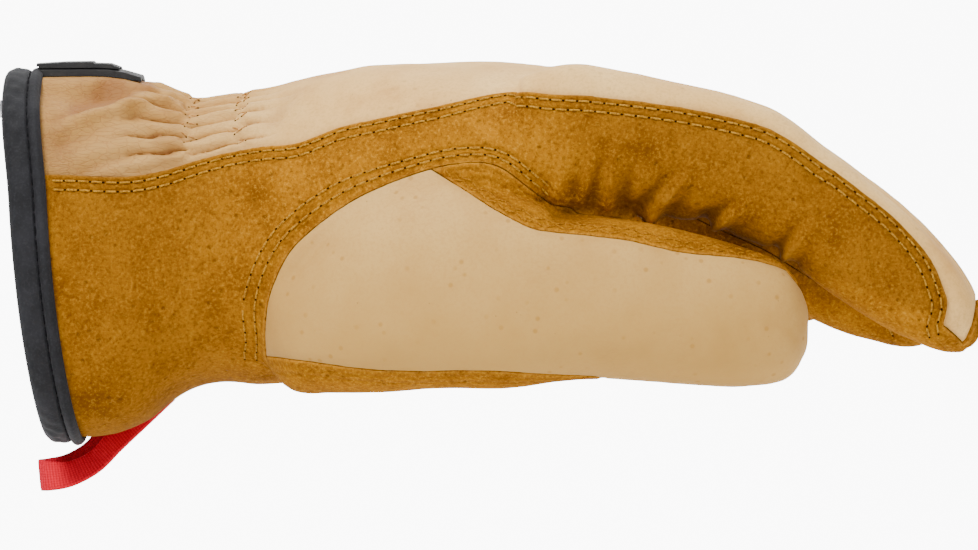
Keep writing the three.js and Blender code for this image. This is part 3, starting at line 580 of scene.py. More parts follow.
def cut(points, faces, values, chosen):
    """Splits the chosen triangles along the zero line of values. Returns points, faces, for each
    face the one it came from, and its side."""
    above = values > 0
    mixed = chosen & (above[faces].any(1) != above[faces].all(1))
    tri = faces[mixed]
    side = above[tri]
    odd = np.where(side.sum(1) == 1, side.argmax(1), (~side).argmax(1))
    order = (odd[:, None] + np.arange(3)) % 3
    tri = np.take_along_axis(tri, order, 1)
    pairs = np.sort(np.concatenate([tri[:, (0, 1)], tri[:, (0, 2)]]), 1)
    edges, where = np.unique(pairs, axis=0, return_inverse=True)
    where = where.reshape(-1)
    low, high = values[edges[:, 0]], values[edges[:, 1]]
    t = np.clip(low / (low - high), 0.08, 0.92)[:, None]
    fresh = points[edges[:, 0]] * (1 - t) + points[edges[:, 1]] * t
    new = where + len(points)
    ab, ac = new[: len(tri)], new[len(tri) :]
    a, b, c = tri.T
    made = np.concatenate([np.stack([a, ab, ac], -1), np.stack([ab, b, c], -1), np.stack([ab, c, ac], -1)])
    a_above = above[a]
    sides = np.concatenate([a_above, ~a_above, ~a_above])
    kept = ~mixed
    source = np.concatenate([np.nonzero(kept)[0], np.tile(np.nonzero(mixed)[0], 3)])
    kept_side = above[faces[kept]].all(1)
    return (
        np.vstack([points, fresh]),
        np.vstack([faces[kept], made]),
        source,
        np.concatenate([kept_side, sides]),
    )


def refine(points, faces, chosen):
    """Splits the chosen triangles in four, and their neighbours to match."""
    edges = np.sort(faces[:, [[0, 1], [1, 2], [2, 0]]], -1)
    flat, where = np.unique(edges.reshape(-1, 2), axis=0, return_inverse=True)
    where = where.reshape(-1, 3)
    split = np.zeros(len(flat), bool)
    split[where[chosen].reshape(-1)] = True
    number = np.full(len(flat), -1)
    number[split] = len(points) + np.arange(split.sum())
    middle = points[flat[split]].mean(1)
    marks = split[where]
    count = marks.sum(1)
    out = [faces[count == 0]]
    full = count == 3
    a, b, c = faces[full].T
    ab, bc, ca = number[where[full]].T
    out += [np.stack(t, -1) for t in ((a, ab, ca), (ab, b, bc), (ca, bc, c), (ab, bc, ca))]
    for k in range(3):
        one = (count == 1) & marks[:, k]
        a, b, c = (faces[one, (k + j) % 3] for j in range(3))
        m = number[where[one, k]]
        out += [np.stack([a, m, c], -1), np.stack([m, b, c], -1)]
        two = (count == 2) & ~marks[:, k]
        a, b, c = (faces[two, (k + j) % 3] for j in range(3))
        bc, ca = number[where[two, (k + 1) % 3]], number[where[two, (k + 2) % 3]]
        out += [np.stack(t, -1) for t in ((a, b, bc), (a, bc, ca), (ca, bc, c))]
    return np.vstack([points, middle]), np.vstack(out)


def neighbours(faces, count):
    pairs = np.vstack([faces[:, (0, 1)], faces[:, (1, 2)], faces[:, (2, 0)]])
    pairs = np.unique(np.sort(pairs, 1), axis=0)
    degree = np.bincount(pairs.reshape(-1), minlength=count).astype(float)
    return pairs, np.maximum(degree, 1)


def relaxed(points, faces, rounds, strength=0.5, rebound=-0.52, mask=None):
    """Smooths a skin without shrinking it."""
    pairs, degree = neighbours(faces, len(points))
    points = points.copy()
    for i in range(rounds * 2):
        total = np.zeros_like(points)
        for k in range(points.shape[1]):
            total[:, k] = np.bincount(pairs[:, 0], points[pairs[:, 1], k], len(points)) + np.bincount(
                pairs[:, 1], points[pairs[:, 0], k], len(points)
            )
        step = (total / degree[:, None] - points) * (strength if i % 2 == 0 else rebound)
        points += step if mask is None else step * mask[:, None]
    return points


def skin_normals(points, faces):
    a, b, c = points[faces[:, 0]], points[faces[:, 1]], points[faces[:, 2]]
    area = np.cross(b - a, c - a)
    total = np.zeros_like(points)
    for corner in range(3):
        for k in range(3):
            total[:, k] += np.bincount(faces[:, corner], area[:, k], len(points))
    return total / np.maximum(np.linalg.norm(total, axis=1, keepdims=True), 1e-12)


def chained(edges):
    """Edges as ordered lines of point numbers."""
    links = {}
    for a, b in edges:
        links.setdefault(int(a), []).append(int(b))
        links.setdefault(int(b), []).append(int(a))
    used, lines = set(), []
    starts = [p for p, n in links.items() if len(n) != 2] + list(links)
    for start in starts:
        for second in links[start]:
            if (min(start, second), max(start, second)) in used:
                continue
            line = [start, second]
            used.add((min(start, second), max(start, second)))
            while len(links[line[-1]]) == 2:
                here = line[-1]
                ahead = links[here][0] if links[here][0] != line[-2] else links[here][1]
                key = (min(here, ahead), max(here, ahead))
                if key in used:
                    break
                used.add(key)
                line.append(ahead)
            lines.append(line)
    return lines


def seam_edges(faces, inside, outside):
    """Edges shared by a face that is inside and one that is outside."""
    def edges_of(part):
        pairs = np.sort(np.vstack([part[:, (0, 1)], part[:, (1, 2)], part[:, (2, 0)]]), 1)
        return set(map(tuple, pairs.tolist()))

    return np.array(sorted(edges_of(faces[inside]) & edges_of(faces[outside])), int).reshape(-1, 2)


def tree_of(points):
    tree = kdtree.KDTree(len(points))
    for i, point in enumerate(points):
        tree.insert(point, i)
    tree.balance()
    return tree


def seam_distance(points, edges):
    """Distance of every point from a seam's edges."""
    start, end = points[edges[:, 0]], points[edges[:, 1]]
    tree = tree_of(np.vstack([start + (end - start) * t for t in (0.0, 0.2, 0.4, 0.6, 0.8, 1.0)]))
    return np.array([tree.find(point)[2] for point in points])


def level_lines(points, faces, values, level):
    """Ordered lines of the surface along which values are level: rows of place and normal."""
    shifted = values - level
    above = shifted > 0
    mixed = above[faces].any(1) != above[faces].all(1)
    tri = faces[mixed]
    side = above[tri]
    odd = np.where(side.sum(1) == 1, side.argmax(1), (~side).argmax(1))
    tri = np.take_along_axis(tri, (odd[:, None] + np.arange(3)) % 3, 1)
    pairs = np.sort(np.concatenate([tri[:, (0, 1)], tri[:, (0, 2)]]), 1)
    edges, where = np.unique(pairs, axis=0, return_inverse=True)
    where = where.reshape(-1)
    low, high = shifted[edges[:, 0]], shifted[edges[:, 1]]
    t = (low / (low - high))[:, None]
    crossing = points[edges[:, 0]] * (1 - t) + points[edges[:, 1]] * t
    segments = np.stack([where[: len(tri)], where[len(tri) :]], -1)
    return [crossing[line] for line in chained(segments)]


def softened(line, rounds=4):
    line = line.copy()
    for _ in range(rounds):
        line[1:-1] = 0.5 * line[1:-1] + 0.25 * (line[:-2] + line[2:])
    return line


def wavy(points, scale, seed):
    """Smooth noise from -1 to 1 over points in millimetres, at that wave length."""
    shift = Vector((seed * 17.3, seed * 5.1, seed * 9.7))
    return np.array([field_noise.noise(Vector(p) / scale + shift) for p in points])


def settings():
    return bpy.context.scene.glove_settings


@functools.lru_cache(maxsize=1)
def glove_skin():
    """The leather's outside as triangles, smoothed, with the label of each face's piece."""
    stations = np.linspace(-0.08, 1 + 0.001, HAND_STEPS)[:, None]
    angles = np.linspace(0, 2 * math.pi, HAND_SIDES, endpoint=False)[None, :]
    lofts = [hand_points(stations, angles, 0.0)]
    turn = np.linspace(0, 2 * math.pi, DIGIT_SIDES, endpoint=False)[None, :]
    across, up = rounded(turn, 2.4)
    shares = np.r_[np.linspace(0, 0.9, DIGIT_STEPS), np.linspace(0.9, 1, 30)[1:]][:, None]
    for k in range(4):
        wide = column(FINGER_ROWS, "wide", shares) * FINGER_WIDTH / 2
        over = column(FINGER_ROWS, "over", shares) * FINGER_DEPTH
        under = column(FINGER_ROWS, "under", shares) * FINGER_DEPTH
        side = FINGERS["place"][k] * FINGER_PITCH
        lofts.append(finger_points(k, shares, side + across * wide, up * np.where(up > 0, over, under)))
    across, up = rounded(turn, 2.5)
    part = thumb_section(shares)
    x = np.broadcast_to(part["x"], (len(shares), DIGIT_SIDES))
    lofts.append(np.stack([x, part["side"] + across * part["thick"], part["mid"] + up * part["tall"]], -1))

    points, faces = [], []
    for rings in lofts:
        first = sum(len(p) for p in points)
        rows, sides = rings.shape[:2]
        points.append(rings.reshape(-1, 3))
        i, k = np.arange(rows - 1)[:, None] * sides, np.arange(sides)[None, :]
        after = (k + 1) % sides
        quads = np.stack([i + k, i + sides + k, i + sides + after, i + after], -1).reshape(-1, 4) + first
        faces += quads.tolist()
        faces.append((first + np.arange(sides)).tolist())
        faces.append((first + (rows - 1) * sides + np.arange(sides)[::-1]).tolist())
    mesh = bpy.data.meshes.new("glove_forms")
    mesh.from_pydata(np.vstack(points), [], faces)
    form = placed("glove_forms", mesh)
    remesh = form.modifiers.new("Remesh", "REMESH")
    remesh.mode = "VOXEL"
    remesh.voxel_size = settings().skin_step / MM
    graph = bpy.context.evaluated_depsgraph_get()
    made = bpy.data.meshes.new_from_object(form.evaluated_get(graph))
    made.calc_loop_triangles()
    points = np.empty(len(made.vertices) * 3)
    made.vertices.foreach_get("co", points)
    faces = np.empty(len(made.loop_triangles) * 3, np.int32)
    made.loop_triangles.foreach_get("vertices", faces)
    bpy.data.objects.remove(form)
    bpy.data.meshes.remove(mesh)
    bpy.data.meshes.remove(made)
    points, faces = points.reshape(-1, 3), faces.reshape(-1, 3).astype(int)

    points = relaxed(points, faces, 5)
    centre = points[faces].mean(1)
    gathered = (centre[:, 0] > 22) & (centre[:, 0] < 66)
    gathered &= centre[:, 2] > column(HAND, "seam", centre[:, 0] / PALM_LENGTH) * HAND_HEIGHT - 2
    points, faces = refine(points, faces, gathered)
    points = relaxed(points, faces, 2)
    points = np.hstack([points, skin_normals(points, faces)])

    at = points[:, 0] / PALM_LENGTH
    edge = BINDING_THICKNESS + 2 * SEAM_GAP - BINDING_WIDTH / 2
    past_mouth = points[:, 0] - mouth_lean(points[:, 2], at) - edge
    points, faces, _, side = cut(points, faces, past_mouth, np.ones(len(faces), bool))
    faces = faces[side]

    labels = np.full(len(faces), PALM)

    def split(region, among, label):
        nonlocal points, faces, labels
        chosen = np.isin(labels, among)
        points, faces, source, side = cut(points, faces, region(points[:, :3]), chosen)
        labels = labels[source]
        labels[np.isin(labels, among) & side] = label

    split(back_region, [PALM], BACK)
    split(thumb_region, [PALM], THUMB_TAN)
    split(pale_panel_region, [THUMB_TAN], THUMB_PALE)
    for index in range(3):
        among = [PALM, *range(FOURCHETTE, FOURCHETTE + index)]
        split(lambda p: fourchette_region(p, index), among, FOURCHETTE + index)
    return points, faces, labels


def crease_rise(points, creases):
    total = np.zeros(len(points))
    for k in range(len(creases["x0"])):
        row = {name: values[k] for name, values in creases.items()}
        a, b = np.array([row["x0"], row["z0"]]), np.array([row["x1"], row["z1"]])
        run = b - a
        t = ((points[:, (0, 2)] - a) @ run) / (run @ run)
        gap = points[:, (0, 2)] - a - np.clip(t, 0, 1)[:, None] * run
        size = np.hypot(gap[:, 0], gap[:, 1]) / row["wide"]
        shown = 1 - smooth_step(points[:, 1], row["deep"] - 3, row["deep"] + 3)
        fading = 1 - 0.8 * np.clip(t, 0, 1) ** 1.4
        total += row["rise"] * fading * np.exp(-size * size) * shown
    return total


def gather_places(points):
    """Place in the gathered wrist: along it from its middle, and round the back, in millimetres
    from its near edge, with the whole length round."""
    at = GATHER_CENTRE / PALM_LENGTH
    turn = np.linspace(0, math.pi, 721)
    ring = hand_points(np.full_like(turn, at), turn[::-1], 0.0)
    arc = np.r_[0, np.cumsum(np.linalg.norm(np.diff(ring, axis=0), axis=1))]
    over = ring[:, 2] > column(HAND, "seam", at) * HAND_HEIGHT
    arc -= arc[over][0]
    part, here = hand_section(points[:, 0] / PALM_LENGTH), hand_section(at)
    y = here["side"] + (points[:, 1] - part["side"]) / part["wide"] * here["wide"]
    z = here["mid"] + (points[:, 2] - part["mid"]) / part["tall"] * here["tall"]
    bearing = np.arctan2(z - here["mid"], -(y - here["side"]))
    ring_bearing = np.arctan2(ring[:, 2] - here["mid"], -(ring[:, 1] - here["side"]))
    return points[:, 0] - GATHER_CENTRE, np.interp(bearing, ring_bearing, arc), arc[over][-1]


def gather_number(along, round_back, length, slant, shift):
    """Which puff of a group a place lies in: a crease runs along each whole number."""
    turned = slant * np.cos(np.pi * np.clip(round_back / length, 0, 1))
    bend = 0.05 * np.sin(along * 0.45 + round_back * 0.7) + 0.06 * np.sin(round_back * 1.7 + 1.0)
    return (round_back - turned * along) / GATHER_PITCH + bend + shift


def gather_rise(points):
    """Puffs of the gathered wrist: a row between two columns of short stitches round the back,
    and the folds that run out from each column, half a pitch further round. Also how deep in a
    crease each point lies, from 0 to 1, which is painted as shade on the leather."""
    along, round_back, length = gather_places(points)
    first, second = (x - GATHER_CENTRE for x in GATHER_COLUMNS)
    middle, half = (first + second) / 2, (second - first) / 2
    waver = 1.1 * np.sin(round_back * 0.9)
    left = np.exp(-((np.clip(first - along - 7, 0, None) / 10.0) ** 2))
    left = left * (1 - smooth_step(along - waver, first - 1.6, first + 1.0))
    right = np.exp(-((np.clip(along - second - 2, 0, None) / 6.0) ** 2))
    right = right * smooth_step(along - waver, second - 1.0, second + 1.6)
    lens = np.sqrt(np.clip(1 - ((along - middle - waver * 0.5) / (half + 1.2)) ** 2, 0, 1))
    total, crease = np.zeros(len(points)), np.zeros(len(points))
    for share, height, slant, shift in (
        (left, 2.7, 0.30, 0.0),
        (lens, 2.7, 0.15, 0.5),
        (right, 2.0, -0.04, 0.0),
    ):
        number = gather_number(along, round_back, length, slant, shift)
        uneven = 1 + 0.2 * np.sin(np.floor(number) * 2.4 + shift)
        wave = np.abs(np.sin(np.pi * number))
        total += share * height * uneven * (wave**0.7 - 0.55)
        crease = np.maximum(crease, share * np.exp(-((wave / 0.26) ** 2)))
    for column_at in (first, second):
        total -= 0.5 * np.exp(-(((along - column_at - waver) / 1.2) ** 2))
    seam = points[:, 2] - column(HAND, "seam", points[:, 0] / PALM_LENGTH) * HAND_HEIGHT
    shown = smooth_step(seam, 0.3, 2.6)
    return total * shown, crease * shown


def tab_bed(points, rise):
    """How much higher the leather has to lie to carry the wrist tab."""
    under = np.interp(points[:, 0], *TAB_UNDER) - TAB_BEDDING + TAB_RAISE
    under = under + 0.9 * (1 - np.clip(points[:, 1] / 10, -1, 1) ** 2)
    shown = (1 - smooth_step(np.abs(points[:, 1]), 10, 17)) * smooth_step(points[:, 0], -4, -2)
    shown = shown * (1 - smooth_step(points[:, 0], 26, 30)) * (points[:, 2] > 30)
    return np.clip(under - points[:, 2] - rise, 0, 4) * shown


@functools.lru_cache(maxsize=1)
def leather_state():
    """The skin with its folds: points, faces, labels, distances from the seams, rise, and the
    painted light of each point: painted shade in dents and creases, and below zero a painted highlight on
    ridges."""
    points, faces, labels = glove_skin()
    place = points[:, :3]
    tan = ~np.isin(labels, (BACK, THUMB_PALE))
    seams = {
        "lap": seam_edges(faces, labels == BACK, tan),
        "opening": seam_edges(faces, labels == PALM, np.isin(labels, (THUMB_TAN, THUMB_PALE))),
        "panel": seam_edges(faces, labels == THUMB_PALE, labels == THUMB_TAN),
    }
    measured = {name: seam_distance(place, edges) for name, edges in seams.items()}
    slow = wavy(place, 21.0, 1) * 0.35 + wavy(place, 8.0, 2) * 0.16 + wavy(place, 3.6, 3) * 0.06
    quiet = smooth_step(place[:, 0] - mouth_lean(place[:, 2], place[:, 0] / PALM_LENGTH), 6, 16)
    back = np.zeros(len(place), bool)
    back[faces[labels == BACK].reshape(-1)] = True
    folds = np.where(back, crease_rise(place, BACK_CREASES), crease_rise(place, CREASES))
    # Painted shade in dents and creases, and below zero a painted highlight on ridges.
    shade = np.clip(-folds / 1.6, -1, 1)
    rise = slow * quiet + folds
    gathered = back & (place[:, 0] > 8) & (place[:, 0] < 72)
    puffs, crease = gather_rise(place[gathered])
    rise[gathered] += puffs * quiet[gathered]
    # The gathers' creases get painted shade too.
    shade[gathered] = np.maximum(shade[gathered], crease * 0.85)
    rise += tab_bed(place, rise) * back
    return points, faces, labels, measured, rise, shade


def boundary_of(faces):
    """Directed edges that only one face of a piece has."""
    edges = np.vstack([faces[:, (0, 1)], faces[:, (1, 2)], faces[:, (2, 0)]])
    keys = np.sort(edges, 1)
    _, where, count = np.unique(keys, axis=0, return_inverse=True, return_counts=True)
    return edges[count[where.reshape(-1)] == 1]


def leather_piece(name, label, tan, material, lift=0.0):
    """One leather piece: its outside, an inner wall a leather thickness in, and its raw edges."""
    points, faces, labels, measured, rise, shade = leather_state()
    mine = faces[labels == label]
    mine = mine[joined_parts(mine, len(points))]
    used, mine = np.unique(mine, return_inverse=True)
    mine = mine.reshape(-1, 3)
    place, normal = points[used, :3], points[used, 3:]
    edges = boundary_of(mine)
    rim = np.unique(edges)
    seam = np.min([distance[used] for distance in measured.values()], axis=0)
    thickness = settings().leather_thickness / MM
    outset = rise[used] + (settings().lap_rise / MM if tan else lift)
    if tan:
        outset -= 0.28 * np.exp(-((seam / 0.35) ** 2))
    else:
        outset -= 0.42 * np.exp(-((seam / 1.1) ** 2)) * (seam < 6)

    # The rim draws back from the seam's line, into the piece.
    pull = np.zeros_like(place)
    for a, b in ((0, 1), (1, 2), (2, 0)):
        for k in range(3):
            pull[:, k] += np.bincount(mine[:, a], place[mine[:, b], k] - place[mine[:, a], k], len(place))
            pull[:, k] += np.bincount(mine[:, b], place[mine[:, a], k] - place[mine[:, b], k], len(place))
    pull -= (pull * normal).sum(1, keepdims=True) * normal
    pull /= np.maximum(np.linalg.norm(pull, axis=1, keepdims=True), 1e-9)
    shifted = place.copy()
    shifted[rim] += pull[rim] * SEAM_GAP / 2
    for _ in range(3):
        before = shifted.copy()
        a, b = edges[:, 0], edges[:, 1]
        total = np.zeros_like(place)
        count = np.bincount(a, minlength=len(place)) + np.bincount(b, minlength=len(place))
        for k in range(3):
            total[:, k] = np.bincount(a, before[b, k], len(place)) + np.bincount(b, before[a, k], len(place))
        two = count == 2
        shifted[two] = 0.5 * before[two] + 0.25 * total[two]

    outside = shifted + normal * outset[:, None]
    inside = shifted - normal * thickness
    free = np.isin(np.arange(len(inside)), rim, invert=True).astype(float)
    inside = relaxed(inside, mine, 3, 0.5, -0.3, mask=free)
    count = len(place)
    a, b = edges[:, 0], edges[:, 1]
    walls = np.vstack([np.stack([b, a, a + count], -1), np.stack([b, a + count, b + count], -1)])
    all_faces = np.vstack([mine, mine[:, ::-1] + count, walls])
    obj = plain_object(name, np.vstack([outside, inside]), all_faces, material)
    # fold holds the painted shade of dents and creases and, below zero, the painted highlight of ridges.
    for key, values in (("seam", seam), ("fold", shade[used])):
        store(obj.data, key, np.r_[values, values])
    obj.data.set_sharp_from_angle(angle=math.radians(58))
    return obj


def joined_parts(faces, count, least=60):
    """Marks the faces of the joined parts, apart from loose scraps."""
    group = np.arange(count)
    while True:
        low = group[faces].min(1)
        fresh = group.copy()
        for k in range(3):
            np.minimum.at(fresh, faces[:, k], low)
        fresh = fresh[fresh]
        if (fresh == group).all():
            break
        group = fresh
    names, sizes = np.unique(group[faces[:, 0]], return_counts=True)
    return np.isin(group[faces[:, 0]], names[sizes >= least])


def store(mesh, key, values, kind="FLOAT", field="value"):
    """Keeps one value or vector for each point of a mesh."""
    layer = mesh.attributes.new(key, kind, "POINT")
    layer.data.foreach_set(field, np.asarray(values, np.float32).reshape(-1))


def placed(name, data):
    """A new object in the scene."""
    obj = bpy.data.objects.new(name, data)
    bpy.context.scene.collection.objects.link(obj)
    return obj


def plain_object(name, points, faces, material, smooth=True):
    """A mesh object in metres from points in millimetres."""
    mesh = bpy.data.meshes.new(name)
    mesh.from_pydata(np.asarray(points) * MM, [], np.asarray(faces).tolist())
    mesh.update()
    mesh.polygons.foreach_set("use_smooth", [smooth] * len(mesh.polygons))
    mesh.materials.append(material)
    return placed(name, mesh)


def claimed(obj, slot, *nodes):
    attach(obj, "root")
    if nodes:
        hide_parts(*nodes)


def closed_rings(rings, name, material, joined=False):
    """A closed skin over rings, with flat ends unless the last ring meets the first."""
    rings = np.asarray(rings)
    count, sides = rings.shape[:2]
    points = rings.reshape(-1, 3)
    faces = []
    for i in range(count if joined else count - 1):
        here, ahead = i * sides, ((i + 1) % count) * sides
        for k in range(sides):
            turn = (k + 1) % sides
            faces.append((here + k, here + turn, ahead + turn, ahead + k))
    if not joined:
        faces.append(tuple(range(sides))[::-1])
        faces.append(tuple((count - 1) * sides + k for k in range(sides)))
    mesh = bpy.data.meshes.new(name)
    mesh.from_pydata(points * MM, [], faces)
    mesh.update()
    obj = bpy.data.objects.new(name, mesh)
    bpy.context.scene.collection.objects.link(obj)
    mesh.materials.append(material)
    outward(obj)
    return obj


def outward(obj):
    """Turns all faces outward and shades them smooth."""
    work = bmesh.new()
    work.from_mesh(obj.data)
    bmesh.ops.recalc_face_normals(work, faces=work.faces)
    if work.calc_volume(signed=True) < 0:
        bmesh.ops.reverse_faces(work, faces=work.faces)
    work.to_mesh(obj.data)
    work.free()
    obj.data.polygons.foreach_set("use_smooth", [True] * len(obj.data.polygons))


# Materials


class Nodes:
    """Short calls for a node tree."""

    def __init__(self, tree):
        self.tree = tree

    def add(self, kind, **values):
        node = self.tree.nodes.new(kind)
        for name, value in values.items():
            setattr(node, name, value)
        return node

    def link(self, output, into):
        self.tree.links.new(output, into)

    def set(self, node, **inputs):
        for name, value in inputs.items():
            socket = node.inputs[name.replace("_", " ")]
            if isinstance(value, bpy.types.NodeSocket):
                self.link(value, socket)
            else:
                socket.default_value = value
        return node

    def math(self, operation, first, second=0.0, third=None):
        node = self.add("ShaderNodeMath", operation=operation)
        for i, value in enumerate((first, second, third)):
            if value is None:
                continue
            if isinstance(value, bpy.types.NodeSocket):
                self.link(value, node.inputs[i])
            else:
                node.inputs[i].default_value = value
        return node.outputs[0]

    def tint(self, shade, amount, strength, *rgb):
        """Mixes a colour of eight-bit parts into a shade by amount times strength."""
        return self.mix(self.math("MULTIPLY", amount, strength), shade, colour(*rgb))

    def axes(self, vector):
        node = self.add("ShaderNodeSeparateXYZ")
        self.link(vector, node.inputs[0])
        return node.outputs

    def attribute(self, name):
        return self.add("ShaderNodeAttribute", attribute_name=name).outputs["Fac"]

    def noise(self, vector, scale, detail=3.0, roughness=0.55):
        node = self.add("ShaderNodeTexNoise")
        self.set(node, Vector=vector, Scale=scale, Detail=detail, Roughness=roughness)
        return node.outputs["Fac"]

    def cells(self, vector, scale, feature="F1", randomness=1.0):
        node = self.add("ShaderNodeTexVoronoi", feature=feature)
        self.set(node, Vector=vector, Scale=scale, Randomness=randomness)
        return node.outputs["Distance"]

    def between(self, value, low, high, to_low=0.0, to_high=1.0):
        node = self.add("ShaderNodeMapRange", interpolation_type="SMOOTHSTEP")
        self.set(node, Value=value)
        for i, number in enumerate((low, high, to_low, to_high)):
            node.inputs[i + 1].default_value = number
        return node.outputs[0]

    def mix(self, share, first, second, blend="MIX"):
        node = self.add("ShaderNodeMix", data_type="RGBA", blend_type=blend)
        for socket, value in ((node.inputs[0], share), (node.inputs[6], first), (node.inputs[7], second)):
            if isinstance(value, bpy.types.NodeSocket):
                self.link(value, socket)
            else:
                socket.default_value = value
        return node.outputs[2]


def colour(red, green, blue):
    """A display colour from 0 to 255 as the renderer's linear colour."""
    def linear(value):
        value /= 255
        return value / 12.92 if value <= 0.04045 else ((value + 0.055) / 1.055) ** 2.4

    return (linear(red), linear(green), linear(blue), 1.0)


def new_group(name, inputs, outputs):
    tree = bpy.data.node_groups.new(name, "ShaderNodeTree")
    for socket, kind, default in inputs:
        made = tree.interface.new_socket(name=socket, in_out="INPUT", socket_type=kind)
        if default is not None:
            made.default_value = default
    for socket, kind in outputs:
        tree.interface.new_socket(name=socket, in_out="OUTPUT", socket_type=kind)
    nodes = Nodes(tree)
    return nodes, nodes.add("NodeGroupInput").outputs, nodes.add("NodeGroupOutput").inputs


@functools.lru_cache(maxsize=None)
def mottle_group():
    """Blotches, clouds and specks of colour over a base colour."""
    nodes, given, out = new_group(
        "Mottle",
        [
            ("Vector", "NodeSocketVector", None),
            ("Base", "NodeSocketColor", (0.5, 0.5, 0.5, 1)),
            ("Light", "NodeSocketColor", (0.7, 0.7, 0.7, 1)),
            ("Dark", "NodeSocketColor", (0.3, 0.3, 0.3, 1)),
            ("Cloud Scale", "NodeSocketFloat", 40.0),
            ("Fleck Scale", "NodeSocketFloat", 400.0),
            ("Fleck Strength", "NodeSocketFloat", 0.5),
        ],
        [("Color", "NodeSocketColor")],
    )
    clouds = nodes.noise(given["Vector"], given["Cloud Scale"], 5.0, 0.6)
    shade = nodes.mix(nodes.between(clouds, 0.40, 0.68), given["Base"], given["Light"])
    shade = nodes.mix(nodes.between(clouds, 0.47, 0.28), shade, given["Dark"])
    flecks = nodes.noise(given["Vector"], given["Fleck Scale"], 3.0, 0.7)
    mask = nodes.between(flecks, 0.60, 0.72)
    amount = nodes.math("MULTIPLY", mask, given["Fleck Strength"])
    shade = nodes.mix(amount, shade, given["Dark"])
    nodes.link(shade, out["Color"])
    return nodes.tree


@functools.lru_cache(maxsize=None)
def seam_group():
    """Pull of the stitching: grooves along the rows and puckers of the leather beside them."""
    nodes, given, out = new_group(
        "Seam Pull",
        [
            ("Vector", "NodeSocketVector", None),
            ("First Row", "NodeSocketFloat", LAP_STITCHES[0]),
            ("Second Row", "NodeSocketFloat", LAP_STITCHES[1]),
            ("Pucker Scale", "NodeSocketFloat", 260.0),
        ],
        [("Height", "NodeSocketFloat"), ("Edge", "NodeSocketFloat"), ("Row", "NodeSocketFloat")],
    )
    seam = nodes.attribute("seam")

    def groove(row):
        gap = nodes.math("DIVIDE", nodes.math("SUBTRACT", seam, row), 0.62)
        square = nodes.math("MULTIPLY", gap, gap)
        return nodes.math("POWER", 2.718, nodes.math("MULTIPLY", square, -1.0))

    rows = nodes.math("ADD", groove(given["First Row"]), groove(given["Second Row"]))
    wave = nodes.math("SUBTRACT", nodes.noise(given["Vector"], given["Pucker Scale"], 1.0), 0.5)
    pucker = nodes.math("MULTIPLY", nodes.math("MULTIPLY", wave, nodes.between(seam, 7.0, 2.0)), 1.6)
    nodes.link(nodes.math("SUBTRACT", pucker, rows), out["Height"])
    nodes.link(nodes.between(seam, 0.7, 0.1), out["Edge"])
    nodes.link(rows, out["Row"])
    return nodes.tree


def new_material(name, roughness):
    material = bpy.data.materials.new(name)
    material.use_nodes = True
    nodes = Nodes(material.node_tree)
    shader = material.node_tree.nodes["Principled BSDF"]
    shader.inputs["Roughness"].default_value = roughness
    place = nodes.add("ShaderNodeTexCoord").outputs["Object"]
    return material, nodes, shader, place


def grouped(nodes, tree, **inputs):
    node = nodes.add("ShaderNodeGroup", node_tree=tree)
    return nodes.set(node, **inputs)


def bumped(nodes, shader, *layers):
    """Chains bumps: (height, distance in millimetres, strength)."""
    normal = None
    for height, distance, strength in layers:
        bump = nodes.add("ShaderNodeBump")
        nodes.set(bump, Height=height, Distance=distance * MM, Strength=strength)
        if normal is not None:
            nodes.link(normal, bump.inputs["Normal"])
        normal = bump.outputs["Normal"]
    nodes.link(normal, shader.inputs["Normal"])


